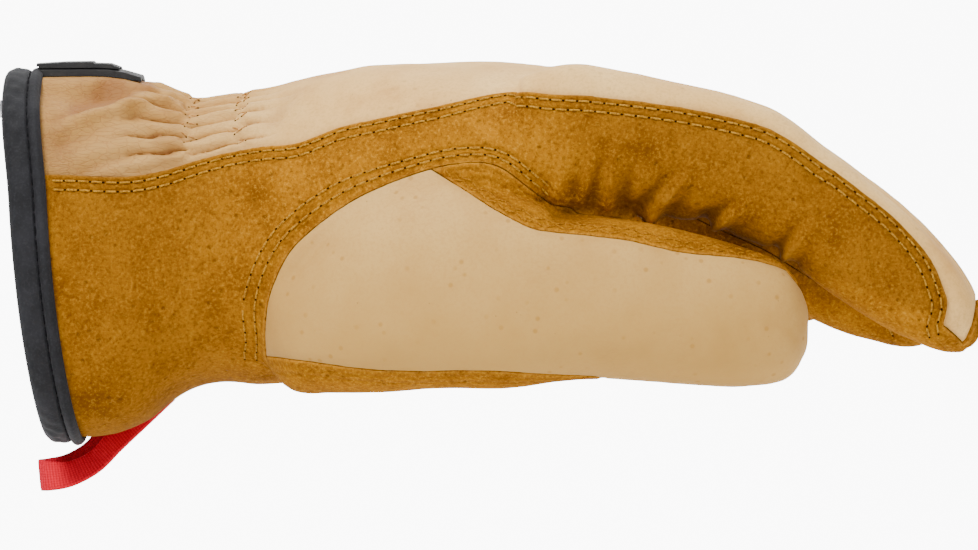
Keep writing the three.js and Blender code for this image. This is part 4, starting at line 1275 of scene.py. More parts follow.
@functools.lru_cache(maxsize=None)
def tan_leather():
    """Split leather with its nap outward: clouds, freckled pits, a short fuzz, darker tan towards the cuff,
    painted shadow between the thumb and the index finger, painted shade in creases and painted highlights on
    ridges.
    """
    material, nodes, shader, place = new_material("tan_roughout", 0.95)
    mottle = grouped(
        nodes,
        mottle_group(),
        Vector=place,
        Base=(*settings().tan_colour, 1),
        Light=colour(168, 109, 6),
        Dark=colour(116, 68, 2),
        Cloud_Scale=62.0,
        Fleck_Scale=560.0,
        Fleck_Strength=0.45,
    )
    seam = grouped(nodes, seam_group(), Vector=place)
    shade = nodes.tint(mottle.outputs["Color"], seam.outputs["Edge"], 0.5, 186, 128, 40)
    shade = nodes.tint(shade, seam.outputs["Row"], 0.22, 104, 60, 4)
    pits = nodes.cells(place, 270.0)
    pit = nodes.between(pits, 0.19, 0.05)
    sparse = nodes.between(nodes.noise(place, 120.0, 2.0), 0.38, 0.5)
    pit = nodes.math("MULTIPLY", pit, sparse)
    shade = nodes.tint(shade, pit, 0.5, 70, 36, 2)
    nap = nodes.noise(place, 1250.0, 5.0, 0.75)
    shade = nodes.mix(nodes.between(nap, 0.50, 0.66, 0.0, 0.75), shade, colour(196, 136, 30))
    shade = nodes.mix(nodes.between(nap, 0.48, 0.34, 0.0, 0.65), shade, colour(92, 50, 2))
    tuft = nodes.noise(place, 640.0, 4.0, 0.7)
    shade = nodes.mix(nodes.between(tuft, 0.48, 0.34, 0.0, 0.5), shade, colour(104, 60, 2))
    # Darker towards the cuff, and a painted shadow in the band between the thumb and the index finger's lower
    # edge.
    axes = nodes.axes(place)
    above = nodes.math("ADD", axes["Z"], nodes.math("MULTIPLY", axes["X"], 0.35))
    finger = nodes.math(
        "MULTIPLY", nodes.between(above, 0.0595, 0.064), nodes.between(axes["X"], 0.11, 0.15)
    )
    cuff_darkening_and_finger_shadow = nodes.math("MAXIMUM", nodes.between(axes["X"], 0.066, 0.03), finger)
    shade = nodes.tint(shade, cuff_darkening_and_finger_shadow, 0.36, 66, 34, 6)
    # Painted shade in dents and creases, and a painted highlight on ridges.
    fold = nodes.attribute("fold")
    shade = nodes.mix(nodes.between(fold, 0.1, 1.0, 0.0, 0.55), shade, colour(66, 30, 2))
    shade = nodes.mix(nodes.between(fold, -0.5, -1.0, 0.0, 0.3), shade, colour(204, 146, 48))
    nodes.link(shade, shader.inputs["Base Color"])
    shader.inputs["Sheen Weight"].default_value = 0.06
    shader.inputs["Sheen Roughness"].default_value = 0.5
    shader.inputs["Sheen Tint"].default_value = colour(230, 170, 60)
    shader.inputs["Specular IOR Level"].default_value = 0.1
    bumped(
        nodes,
        shader,
        (seam.outputs["Height"], 0.34, 0.9),
        (nodes.noise(place, 380.0, 4.0, 0.65), 0.42, 0.6),
        (tuft, 0.3, 0.6),
        (nap, 0.22, 0.8),
        (nodes.math("MULTIPLY", pit, -1.0), 0.35, 0.8),
    )
    return material


@functools.lru_cache(maxsize=None)
def pale_leather(name="pale_grain", light=(240, 196, 122), dark=(206, 152, 78), speckled=0.3):
    """Smooth grain leather: hairline wrinkles, pores, dye that is warmer at the wrist, and painted shade
    lower down and in the creases.
    """
    material, nodes, shader, place = new_material(name, 0.66)
    chosen = settings().pale_colour if name == "pale_grain" else settings().thumb_colour
    mottle = grouped(
        nodes,
        mottle_group(),
        Vector=place,
        Base=(*chosen, 1),
        Light=colour(*light),
        Dark=colour(*dark),
        Cloud_Scale=34.0,
        Fleck_Scale=480.0,
        Fleck_Strength=0.16,
    )
    axes = nodes.axes(place)
    wrist = nodes.between(axes["X"], 0.082, 0.002)
    # Painted shade: darker and warmer lower down, most short of the thumb's tip.
    low = nodes.between(axes["Z"], 0.026, -0.034)
    low = nodes.math("MULTIPLY", low, nodes.between(axes["X"], 0.2, 0.17, 0.1, 0.75))
    shade = nodes.mix(low, mottle.outputs["Color"], colour(178, 136, 60))
    shade = nodes.tint(shade, wrist, 0.85, 152, 108, 46)
    tanned = nodes.math("MULTIPLY", nodes.between(nodes.noise(place, 55.0, 3.0), 0.50, 0.68), wrist)
    shade = nodes.tint(shade, tanned, 0.5, 128, 82, 36)
    pores = nodes.cells(place, 330.0)
    some = nodes.between(nodes.noise(place, 110.0, 1.0), 0.53, 0.6)
    pore = nodes.math("MULTIPLY", nodes.between(pores, 0.085, 0.03), some)
    shade = nodes.tint(shade, pore, 0.5, 118, 74, 26)
    drawn = nodes.add("ShaderNodeMapping")
    drawn.inputs["Rotation"].default_value = (0.0, math.radians(34), 0.0)
    drawn.inputs["Scale"].default_value = (0.5, 1.0, 1.5)
    nodes.link(place, drawn.inputs["Vector"])
    waved = nodes.add("ShaderNodeVectorMath", operation="ADD")
    shift = nodes.add("ShaderNodeTexNoise")
    nodes.set(shift, Vector=place, Scale=240.0, Detail=2.0)
    scaled = nodes.add("ShaderNodeVectorMath", operation="SCALE")
    nodes.link(shift.outputs["Color"], scaled.inputs[0])
    scaled.inputs["Scale"].default_value = 0.0022
    nodes.link(drawn.outputs["Vector"], waved.inputs[0])
    nodes.link(scaled.outputs[0], waved.inputs[1])
    hairlines = nodes.cells(waved.outputs[0], 620.0, "DISTANCE_TO_EDGE")
    patches = nodes.between(nodes.noise(place, 30.0, 2.0), 0.56, 0.70, 0.0, 0.3)
    patches = nodes.math("MAXIMUM", patches, nodes.math("MULTIPLY", wrist, 0.8))
    hairline = nodes.math("MULTIPLY", nodes.between(hairlines, 0.11, 0.0), patches)
    shade = nodes.tint(shade, hairline, 0.44, 140, 84, 42)
    speck = nodes.between(nodes.cells(place, 250.0), 0.21, 0.08)
    sparse = nodes.between(nodes.noise(place, 90.0, 1.0), 0.50 - speckled / 4, 0.56)
    speck = nodes.math("MULTIPLY", speck, sparse)
    shade = nodes.tint(shade, speck, speckled, 164, 112, 34)
    grain = nodes.noise(place, 1300.0, 4.0, 0.7)
    shade = nodes.mix(nodes.between(grain, 0.56, 0.36, 0.0, 0.3), shade, colour(188, 136, 66))
    # Painted shade in dents and creases.
    fold = nodes.attribute("fold")
    shade = nodes.mix(nodes.between(fold, 0.0, 1.0, 0.0, 0.66), shade, colour(132, 78, 32))
    nodes.link(shade, shader.inputs["Base Color"])
    shader.inputs["Specular IOR Level"].default_value = 0.25
    shader.inputs["Sheen Weight"].default_value = 0.03
    bumped(
        nodes,
        shader,
        (nodes.noise(place, 190.0, 4.0, 0.6), 0.3, 0.45),
        (nodes.math("MULTIPLY", hairline, -1.0), 0.13, 0.7),
        (grain, 0.1, 0.4),
        (nodes.math("MULTIPLY", pore, -1.0), 0.15, 0.6),
    )
    return material


@functools.lru_cache(maxsize=None)
def thread_material(name="khaki_thread", shade=(188, 138, 44), dark=(126, 80, 14)):
    material, nodes, shader, place = new_material(name, 0.7)
    twist = nodes.noise(place, 2400.0, 2.0)
    shaded = nodes.mix(nodes.between(twist, 0.3, 0.7), colour(*dark), colour(*shade))
    nodes.link(shaded, shader.inputs["Base Color"])
    shader.inputs["Specular IOR Level"].default_value = 0.08
    bumped(nodes, shader, (twist, 0.06, 0.6))
    return material


@functools.lru_cache(maxsize=None)
def hole_material():
    material, nodes, shader, place = new_material("needle_hole", 1.0)
    spread = nodes.noise(place, 900.0, 1.0)
    nodes.link(nodes.mix(spread, colour(22, 9, 2), colour(50, 26, 6)), shader.inputs["Base Color"])
    shader.inputs["Specular IOR Level"].default_value = 0.0
    return material


@functools.lru_cache(maxsize=None)
def binding_material():
    """Charcoal binding tape with a fine close weave."""
    material, nodes, shader, place = new_material("charcoal_tape", 0.74)
    cloud = nodes.noise(place, 90.0, 4.0)
    shade = nodes.mix(nodes.between(cloud, 0.35, 0.7), (*settings().binding_colour, 1), colour(30, 30, 34))
    weave = nodes.noise(place, 1700.0, 2.0)
    shade = nodes.mix(nodes.between(weave, 0.45, 0.75, 0.0, 0.35), shade, colour(44, 44, 48))
    nodes.link(shade, shader.inputs["Base Color"])
    shader.inputs["Specular IOR Level"].default_value = 0.25
    shader.inputs["Sheen Weight"].default_value = 0.04
    bumped(nodes, shader, (nodes.noise(place, 500.0, 3.0), 0.2, 0.4), (weave, 0.1, 0.6))
    return material


@functools.lru_cache(maxsize=None)
def moulded_material():
    """Moulded rubber of the tab, worn paler in places."""
    material, nodes, shader, place = new_material("moulded_rubber", 0.5)
    wear = nodes.noise(place, 260.0, 5.0, 0.65)
    shade = nodes.mix(nodes.between(wear, 0.45, 0.8), (*settings().tab_colour, 1), colour(46, 44, 42))
    nodes.link(shade, shader.inputs["Base Color"])
    nodes.link(nodes.between(wear, 0.3, 0.8, 0.42, 0.66), shader.inputs["Roughness"])
    shader.inputs["Specular IOR Level"].default_value = 0.35
    bumped(nodes, shader, (nodes.noise(place, 900.0, 3.0), 0.08, 0.45))
    return material


@functools.lru_cache(maxsize=None)
def webbing_material():
    """Red ribbed webbing: cross ribs and lengthwise yarns on its own map, with painted shade on the far
    strand and a painted highlight where it folds.
    """
    material, nodes, shader, place = new_material("red_webbing", 0.85)
    axes = nodes.axes(nodes.add("ShaderNodeUVMap", uv_map="UVMap").outputs["UV"])
    ribs = nodes.math("SINE", nodes.math("MULTIPLY", axes["X"], 2 * math.pi / 0.72))
    yarns = nodes.math("SINE", nodes.math("MULTIPLY", axes["Y"], 2 * math.pi / 0.7))
    woven = nodes.math("ADD", nodes.math("MULTIPLY", ribs, 0.6), nodes.math("MULTIPLY", yarns, 0.4))
    fold_highlight = nodes.attribute("fold")
    inner = nodes.attribute("inner")
    shade = nodes.mix(nodes.between(woven, -0.9, 0.9), colour(204, 6, 30), (*settings().loop_colour, 1))
    # Painted shade on the far strand.
    shade = nodes.tint(shade, inner, 0.8, 96, 0, 8)
    # Painted highlight where the band turns.
    fold_highlight_colour = nodes.mix(nodes.between(ribs, -0.8, 0.8), colour(170, 4, 28), colour(196, 30, 56))
    shade = nodes.mix(nodes.math("MULTIPLY", fold_highlight, 0.75), shade, fold_highlight_colour)
    fuzz = nodes.noise(place, 2200.0, 2.0)
    shade = nodes.mix(nodes.between(fuzz, 0.4, 0.8, 0.0, 0.2), shade, colour(170, 4, 34))
    nodes.link(shade, shader.inputs["Base Color"])
    shader.inputs["Specular IOR Level"].default_value = 0.15
    bumped(nodes, shader, (woven, 0.09, 0.7), (fuzz, 0.08, 0.5))
    return material


@functools.lru_cache(maxsize=None)
def label_material():
    material, nodes, shader, place = new_material("white_tape", 0.8)
    weave = nodes.noise(place, 1800.0, 2.0)
    axes = nodes.axes(place)
    # Painted shade: the label turns grey above 36 mm, inside the cuff.
    grey = nodes.between(axes["Z"], 0.0345, 0.0365)
    shade = nodes.mix(grey, colour(236, 236, 236), colour(110, 110, 112))
    shade = nodes.mix(nodes.between(weave, 0.35, 0.75, 0.0, 0.3), shade, colour(196, 196, 196))
    nodes.link(shade, shader.inputs["Base Color"])
    bumped(nodes, shader, (weave, 0.08, 0.5))
    return material


# Stitching


def repeat_tree(name, shape, material):
    """Geometry nodes that set one shape on each point, turned along the row and off the leather."""
    tree = bpy.data.node_groups.new(name, "GeometryNodeTree")
    for socket, kind, default in (
        ("Geometry", "NodeSocketGeometry", None),
        ("Length", "NodeSocketFloat", 0.0026),
        ("Width", "NodeSocketFloat", 0.0005),
        ("Height", "NodeSocketFloat", 0.0003),
    ):
        made = tree.interface.new_socket(name=socket, in_out="INPUT", socket_type=kind)
        if default is not None:
            made.default_value = default
    tree.interface.new_socket(name="Geometry", in_out="OUTPUT", socket_type="NodeSocketGeometry")
    nodes = Nodes(tree)
    given = nodes.add("NodeGroupInput").outputs
    out = nodes.add("NodeGroupOutput").inputs
    size = nodes.add("ShaderNodeCombineXYZ")
    for axis, socket in zip("XYZ", ("Length", "Width", "Height")):
        nodes.link(given[socket], size.inputs[axis])
    if shape == "thread":
        arch = nodes.add("GeometryNodeCurveQuadraticBezier")
        nodes.set(arch, Resolution=5, Start=(-0.5, 0, -0.5), Middle=(0, 0, 1.5), End=(0.5, 0, -0.5))
        ring = nodes.add("GeometryNodeCurvePrimitiveCircle")
        ring.inputs["Resolution"].default_value = 6
        ring.inputs["Radius"].default_value = 1.0
        scaled = nodes.add("GeometryNodeTransform")
        nodes.link(arch.outputs[0], scaled.inputs["Geometry"])
        nodes.link(size.outputs[0], scaled.inputs["Scale"])
        ring_scaled = nodes.add("GeometryNodeTransform")
        nodes.link(ring.outputs[0], ring_scaled.inputs["Geometry"])
        half = nodes.add("ShaderNodeVectorMath", operation="SCALE")
        wide = nodes.add("ShaderNodeCombineXYZ")
        for axis in "XYZ":
            nodes.link(given["Width"], wide.inputs[axis])
        nodes.link(wide.outputs[0], half.inputs[0])
        half.inputs["Scale"].default_value = 0.5
        nodes.link(half.outputs[0], ring_scaled.inputs["Scale"])
        body = nodes.add("GeometryNodeCurveToMesh")
        nodes.link(scaled.outputs[0], body.inputs["Curve"])
        nodes.link(ring_scaled.outputs[0], body.inputs["Profile Curve"])
        body.inputs["Fill Caps"].default_value = True
    else:
        ball = nodes.add("GeometryNodeMeshUVSphere")
        nodes.set(ball, Segments=8, Rings=4, Radius=0.5)
        body = nodes.add("GeometryNodeTransform")
        nodes.link(ball.outputs["Mesh"], body.inputs["Geometry"])
        nodes.link(size.outputs[0], body.inputs["Scale"])
    turned = None
    for axis, attribute in (("X", "along"), ("Z", "outward")):
        vector = nodes.add("GeometryNodeInputNamedAttribute", data_type="FLOAT_VECTOR")
        vector.inputs["Name"].default_value = attribute
        align = nodes.add("FunctionNodeAlignRotationToVector", axis=axis)
        if axis == "Z":
            align.pivot_axis = "X"
        nodes.link(vector.outputs["Attribute"], align.inputs["Vector"])
        if turned is not None:
            nodes.link(turned, align.inputs["Rotation"])
        turned = align.outputs["Rotation"]
    place = nodes.add("GeometryNodeInstanceOnPoints")
    nodes.link(given["Geometry"], place.inputs["Points"])
    nodes.link(body.outputs[0], place.inputs["Instance"])
    nodes.link(turned, place.inputs["Rotation"])
    real = nodes.add("GeometryNodeRealizeInstances")
    nodes.link(place.outputs[0], real.inputs[0])
    finish = nodes.add("GeometryNodeSetMaterial")
    finish.inputs["Material"].default_value = material
    nodes.link(real.outputs[0], finish.inputs["Geometry"])
    nodes.link(finish.outputs[0], out["Geometry"])
    return tree


def repeated(name, tree, places, along, outward_vectors, length, width, height):
    """The tree's shape at every place, as one plain mesh. Sizes in millimetres."""
    mesh = bpy.data.meshes.new(name + "_points")
    mesh.from_pydata(np.asarray(places) * MM, [], [])
    for key, values in (("along", along), ("outward", outward_vectors)):
        store(mesh, key, values, "FLOAT_VECTOR", "vector")
    holder = placed(name + "_points", mesh)
    modifier = holder.modifiers.new("Repeat", "NODES")
    modifier.node_group = tree
    sizes = {"Length": length, "Width": width, "Height": height}
    for item in tree.interface.items_tree:
        if item.item_type == "SOCKET" and item.in_out == "INPUT" and item.name in sizes:
            modifier[item.identifier] = sizes[item.name] * MM
    graph = bpy.context.evaluated_depsgraph_get()
    made = bpy.data.meshes.new_from_object(holder.evaluated_get(graph))
    made.name = name
    made.polygons.foreach_set("use_smooth", [True] * len(made.polygons))
    holder.modifiers.remove(modifier)
    bpy.data.objects.remove(holder)
    return placed(name, made)


def spaced(line, pitch, seed):
    """Places at a pitch along a line of places and normals, with their directions."""
    step = np.r_[0, np.cumsum(np.linalg.norm(np.diff(line[:, :3], axis=0), axis=1))]
    if step[-1] < 2.5 * pitch:
        return None
    marks = np.arange(pitch / 2, step[-1] - pitch / 4, pitch)
    marks = marks + np.random.default_rng(seed).uniform(-0.05, 0.05, len(marks)) * pitch
    at = np.stack([np.interp(marks, step, line[:, k]) for k in range(6)], -1)
    ahead = np.stack([np.interp(marks + pitch / 3, step, line[:, k]) for k in range(3)], -1)
    behind = np.stack([np.interp(marks - pitch / 3, step, line[:, k]) for k in range(3)], -1)
    return at[:, :3], at[:, 3:], ahead - behind


def laid(rows, pitch, seed=0):
    """Places, normals and directions of the stitches along all rows."""
    found = [spaced(line, pitch, seed + number) for number, line in enumerate(rows)]
    return (np.vstack([row[k] for row in found if row is not None]) for k in range(3))


def kept_runs(line, keep, least=9.0):
    """The stretches of a line where keep is true, apart from short ones in millimetres."""
    marks = np.flatnonzero(np.diff(np.r_[0, keep.astype(int), 0]))
    runs = [line[a:b] for a, b in zip(marks[::2], marks[1::2]) if b - a > 8]
    return [run for run in runs if np.linalg.norm(np.diff(run[:, :3], axis=0), axis=1).sum() > least]


def stitch_rows():
    """Lines of the stitch rows on the tan leather, and of the finer ones over the thumb's panel,
    lifted onto its surface."""
    points, faces, labels, measured, rise, _ = leather_state()
    base = points[:, :3]
    place = base + points[:, 3:] * (rise + settings().lap_rise / MM)[:, None]
    data = np.hstack([place, points[:, 3:], base, measured["opening"][:, None], measured["lap"][:, None]])
    hand_tan = faces[np.isin(labels, (PALM, *range(FOURCHETTE, FOURCHETTE + 3)))]
    palm, thumb = faces[labels == PALM], faces[labels == THUMB_TAN]
    rows, fine = [], []
    for level in LAP_STITCHES:
        for line in level_lines(data, hand_tan, measured["lap"], level):
            base = line[:, 6:9]
            _, at, _, _ = finger_places(base)
            from_mouth = base[:, 0] - mouth_lean(base[:, 2], base[:, 0] / PALM_LENGTH)
            rows += kept_runs(line, (from_mouth > 5.4) & ((at < 0.95) | (base[:, 0] < 150)))
    wide = 1 + 0.75 * smooth_step(-points[:, 0], -98, -62)
    for level in OPENING_STITCHES:
        for line in level_lines(data, palm, measured["opening"] / wide, level):
            base = line[:, 6:9]
            near = (base[:, 1] < 2 - THUMB_SEAM_DEPTH) & (base[:, 0] < 126)
            rows += kept_runs(line, near & (line[:, 10] > 4.6))
    for level in STRIP_STITCHES:
        for line in level_lines(data, thumb, measured["panel"], level):
            above = np.interp(line[:, 6], PALE_TOP["x"], PALE_TOP["z"]) - 0.5
            fine += kept_runs(line, (line[:, 9] > 1.0) & (line[:, 8] > above) & (line[:, 6] < 180))
    return [softened(line) for line in rows], [softened(line) for line in fine]


def gather_stitches():
    """Short zigzag stitches at both ends of the wrist's puffs: places, normals and directions."""
    points, faces, labels, _, rise, _ = leather_state()
    used = np.unique(faces[labels == BACK])
    used = used[(points[used, 0] > 26) & (points[used, 0] < 60)]
    along, round_back, length = gather_places(points[used, :3])
    keep = (round_back > -4) & (round_back < length + 4)
    used, along, round_back = used[keep], along[keep], round_back[keep]
    tree = tree_of(np.stack([along, round_back, np.zeros(len(used))], -1))
    found = []
    for column_at, slant, shift in ((GATHER_COLUMNS[0], 0.30, 0.0), (GATHER_COLUMNS[1], 0.20, 0.5)):
        middle = column_at - GATHER_CENTRE
        for number in range(int(length / GATHER_PITCH) + 1):
            turned = slant * math.cos(math.pi * number * GATHER_PITCH / length)
            start = (number - shift) * GATHER_PITCH + turned * middle
            side = math.copysign(1.0, length / 2 - start)
            steps = ((-2.0, 0.0), (0.1, 0.3), (2.2, 0.7), (0.9, 1.6), (-0.5, 2.6))
            path = [(middle + ahead, start - side * down) for ahead, down in steps]
            for here, ahead in zip(path, path[1:]):
                centre = ((here[0] + ahead[0]) / 2, (here[1] + ahead[1]) / 2)
                if not 3.0 < centre[1] < length - 3.0:
                    continue
                ends = [used[tree.find((*spot, 0.0))[1]] for spot in (here, centre, ahead)]
                skin = points[ends, :3] + points[ends, 3:] * rise[ends, None]
                if np.linalg.norm(skin[2] - skin[0]) > 0.5:
                    found.append((skin[1], points[ends[1], 3:], skin[2] - skin[0], skin[2]))
    return [np.array([row[k] for row in found]) for k in range(4)]


def length_setting(name, description, default, least=0.0):
    return bpy.props.FloatProperty(
        name=name, description=description, default=default, min=least, unit="LENGTH"
    )


def colour_setting(name, description, *rgb):
    return bpy.props.FloatVectorProperty(
        name=name, description=description, subtype="COLOR", default=colour(*rgb)[:3]
    )


class GloveSettings(bpy.types.PropertyGroup):
    """Sizes and colours that a user may change."""

    skin_step: length_setting("Skin Step", "Spacing of the leather's mesh", 0.0012, 0.0008)
    leather_thickness: length_setting("Leather Thickness", "Thickness of the leather", 0.0015, 0.001)
    lap_rise: length_setting("Lap Rise", "How far the tan leather stands over a seam", 0.0008)
    stitch_pitch: length_setting("Stitch Pitch", "Distance between stitches", 0.0033, 0.001)
    thread_width: length_setting("Thread Width", "Width of the sewing thread", 0.00054)
    thumb_colour: colour_setting("Thumb Panel", "Colour of the thumb's panel", 204, 158, 84)
    tan_colour: colour_setting("Tan Leather", "Colour of the tan leather", 146, 91, 2)
    pale_colour: colour_setting("Pale Leather", "Colour of the pale leather", 226, 178, 102)
    binding_colour: colour_setting("Binding", "Colour of the cuff's binding", 16, 16, 19)
    tab_colour: colour_setting("Tab", "Colour of the moulded tab", 29, 28, 28)
    loop_colour: colour_setting("Loop", "Colour of the webbing loop", 235, 14, 44)


class GLOVE_OT_leather(bpy.types.Operator):
    """Makes the leather pieces: back, palm, side strips and the two halves of the thumb"""

    bl_idname = "glove.leather"
    bl_label = "Leather Pieces"

    def execute(self, context):
        back = [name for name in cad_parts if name.startswith(("back_", "finger_back_"))]
        palm = [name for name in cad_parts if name.startswith(("palm_", "finger_front_"))]
        claimed(leather_piece("back_leather", BACK, False, pale_leather()), "pale_leather", *back)
        claimed(leather_piece("palm_leather", PALM, True, tan_leather()), "tan_leather", *palm)
        for index in range(3):
            name = f"side_strip_{index + 1}"
            strip = leather_piece(name, FOURCHETTE + index, True, tan_leather())
            claimed(strip, "tan_leather", f"fourchette_{index + 1}")
        # The thumb's panel is a more yellow, speckled leather; its darker colours are also painted shade, as
        # it faces forward and down.
        panel = pale_leather("thumb_grain", (216, 172, 98), (184, 136, 64), 0.6)
        panel = leather_piece("thumb_pale", THUMB_PALE, False, panel, PANEL_LIFT)
        claimed(panel, "pale_leather", "thumb_back")
        claimed(leather_piece("thumb_tan", THUMB_TAN, True, tan_leather()), "tan_leather", "thumb_front")
        return {"FINISHED"}


class GLOVE_OT_stitching(bpy.types.Operator):
    """Sews the stitch rows of the seams, with their needle holes"""

    bl_idname = "glove.stitching"
    bl_label = "Stitching"

    def execute(self, context):
        pitch = settings().stitch_pitch / MM
        width = settings().thread_width / MM
        rows, fine = stitch_rows()
        place, normal, along = laid(rows, pitch)
        thread = repeat_tree("Thread Stitches", "thread", thread_material())
        pierced = repeat_tree("Needle Holes", "hole", hole_material())
        sewn = repeated("stitches", thread, place + normal * 0.12, along, normal, pitch * 0.74, width, 0.22)
        claimed(sewn, "tan_leather")
        length = np.linalg.norm(along, axis=1, keepdims=True)
        ends = place + along / length * pitch * 0.5 + normal * 0.06
        claimed(repeated("needle_holes", pierced, ends, along, normal, 0.7, 0.5, 0.2), "tan_leather")

        place, normal, along = laid(fine, pitch * 0.8, 50)
        aside = np.where(np.arange(len(along)) % 2, 0.4, -0.4)[:, None]
        zigzag = along + np.cross(normal, along) * aside
        tan = thread_material("tan_thread", (176, 118, 20), (118, 70, 4))
        tan = repeat_tree("Panel Stitches", "thread", tan)
        tacked = repeated("panel_stitches", tan, place + normal * 0.04, zigzag, normal, 2.3, width * 0.9, 0.2)
        claimed(tacked, "tan_leather")

        place, normal, along, ends = gather_stitches()
        cream = thread_material("cream_thread", (196, 146, 84), (158, 108, 54))
        cream = repeat_tree("Short Stitches", "thread", cream)
        place = place + normal * 0.02
        short = repeated("gather_stitches", cream, place, along, normal, 1.4, width * 0.6, 0.12)
        claimed(short, "pale_leather")
        ends = ends + normal * 0.03
        claimed(repeated("gather_holes", pierced, ends, along, normal, 0.6, 0.5, 0.18), "pale_leather")
        return {"FINISHED"}


class GLOVE_OT_binding(bpy.types.Operator):
    """Makes the binding of the wrist opening: padded band, stitched groove and rolled lip"""

    bl_idname = "glove.binding"
    bl_label = "Cuff Binding"

    def execute(self, context):
        left = -BINDING_WIDTH / 2
        outside = LAP_RISE + SEAM_GAP
        face = outside + BINDING_THICKNESS
        inside = -settings().leather_thickness / MM - SEAM_GAP
        groove = left + BINDING_WIDTH * 0.66
        lip = left + BINDING_WIDTH
        outline = [
            (left, 0.0),
            (left + 0.25, face - BINDING_THICKNESS * 0.6),
            (left + BINDING_THICKNESS, face + BINDING_SWELL * 0.3),
            ((left + groove) / 2, face + BINDING_SWELL),
            (groove - BINDING_SWELL, face + BINDING_SWELL * 0.2),
            (groove, face - BINDING_SWELL),
            (groove + BINDING_SWELL, face + BINDING_SWELL * 0.4),
            ((groove + BINDING_SWELL + lip) / 2, face + BINDING_SWELL),
            (lip - 0.15, face - BINDING_SWELL * 0.5),
            (lip - 0.05, outside + 0.1),
        ]
        outer = through(outline, 5)
        slot = left + BINDING_THICKNESS
        inner_end = left + BINDING_INNER_WIDTH
        rest = [
            (lip - 0.5, outside),
            (slot + 0.3, outside),
            (slot, 0.0),
            (slot + 0.3, inside),
            (inner_end - 0.3, inside),
            (inner_end, inside - BINDING_THICKNESS * 0.5),
            (inner_end - 0.3, inside - BINDING_THICKNESS),
            (left + BINDING_THICKNESS, inside - BINDING_THICKNESS),
            (left + 0.35, inside - 0.4 * BINDING_THICKNESS),
        ]
        section = np.vstack([outer, rest])
        sides = 260
        angle = np.linspace(0, 2 * math.pi, sides, endpoint=False)
        rings = []
        for i, (x, outset) in enumerate(section):
            swell = np.full(sides, outset)
            if 4 <= i < len(outer) - 3:
                band = math.sin(math.pi * np.clip((x - left) / (groove - left), 0, 1))
                wave = np.sin(angle * 31 + x * 1.3) * 0.5 + np.sin(angle * 47 - x * 0.8 + 1.0) * 0.5
                swell += 0.34 * wave * max(band, 0) * (0.35 + 0.65 * np.sin(angle * 3.0 + 0.7) ** 2)
                swell += 0.08 * np.sin(angle * 110) * (1 if x > groove else 0)
            rings.append(hand_points(np.full(sides, x / PALM_LENGTH), angle, swell))
        band = closed_rings(rings, "binding", binding_material(), joined=True)
        claimed(band, "black_binding", "cuff_binding")

        ring = hand_points(np.full(sides, groove / PALM_LENGTH), angle, face - BINDING_SWELL + 0.12)
        middle = ring.mean(0)
        ring = np.vstack([ring, ring[:1]])
        normal = ring - middle
        normal[:, 0] = 0
        line = np.hstack([ring, normal / np.linalg.norm(normal, axis=1, keepdims=True)])
        place, normal, along = spaced(line, 3.1, 7)
        grey = thread_material("grey_thread", (26, 26, 29), (10, 10, 12))
        tree = repeat_tree("Binding Stitches", "thread", grey)
        claimed(repeated("binding_stitches", tree, place, along, normal, 2.2, 0.5, 0.2), "black_binding")
        return {"FINISHED"}


class GLOVE_OT_wrist_tab(bpy.types.Operator):
    """Makes the moulded tab on the back of the cuff and the stepped plate on it"""

    bl_idname = "glove.wrist_tab"
    bl_label = "Wrist Tab"

    def execute(self, context):
        for name, piece in (("wrist_tab", "moulded_tab"), ("tab_plate", "moulded_plate")):
            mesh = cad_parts[name].data
            points = np.array([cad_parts[name].matrix_world @ v.co for v in mesh.vertices]) / MM
            points[:, 0] = TAB_FRONT + (points[:, 0] - TAB_START) * TAB_STRETCH
            points[:, 2] += TAB_RAISE
            faces = [polygon.vertices[:] for polygon in mesh.polygons]
            claimed(plain_object(piece, points, faces, moulded_material(), False), "black_rubber", name)
        return {"FINISHED"}


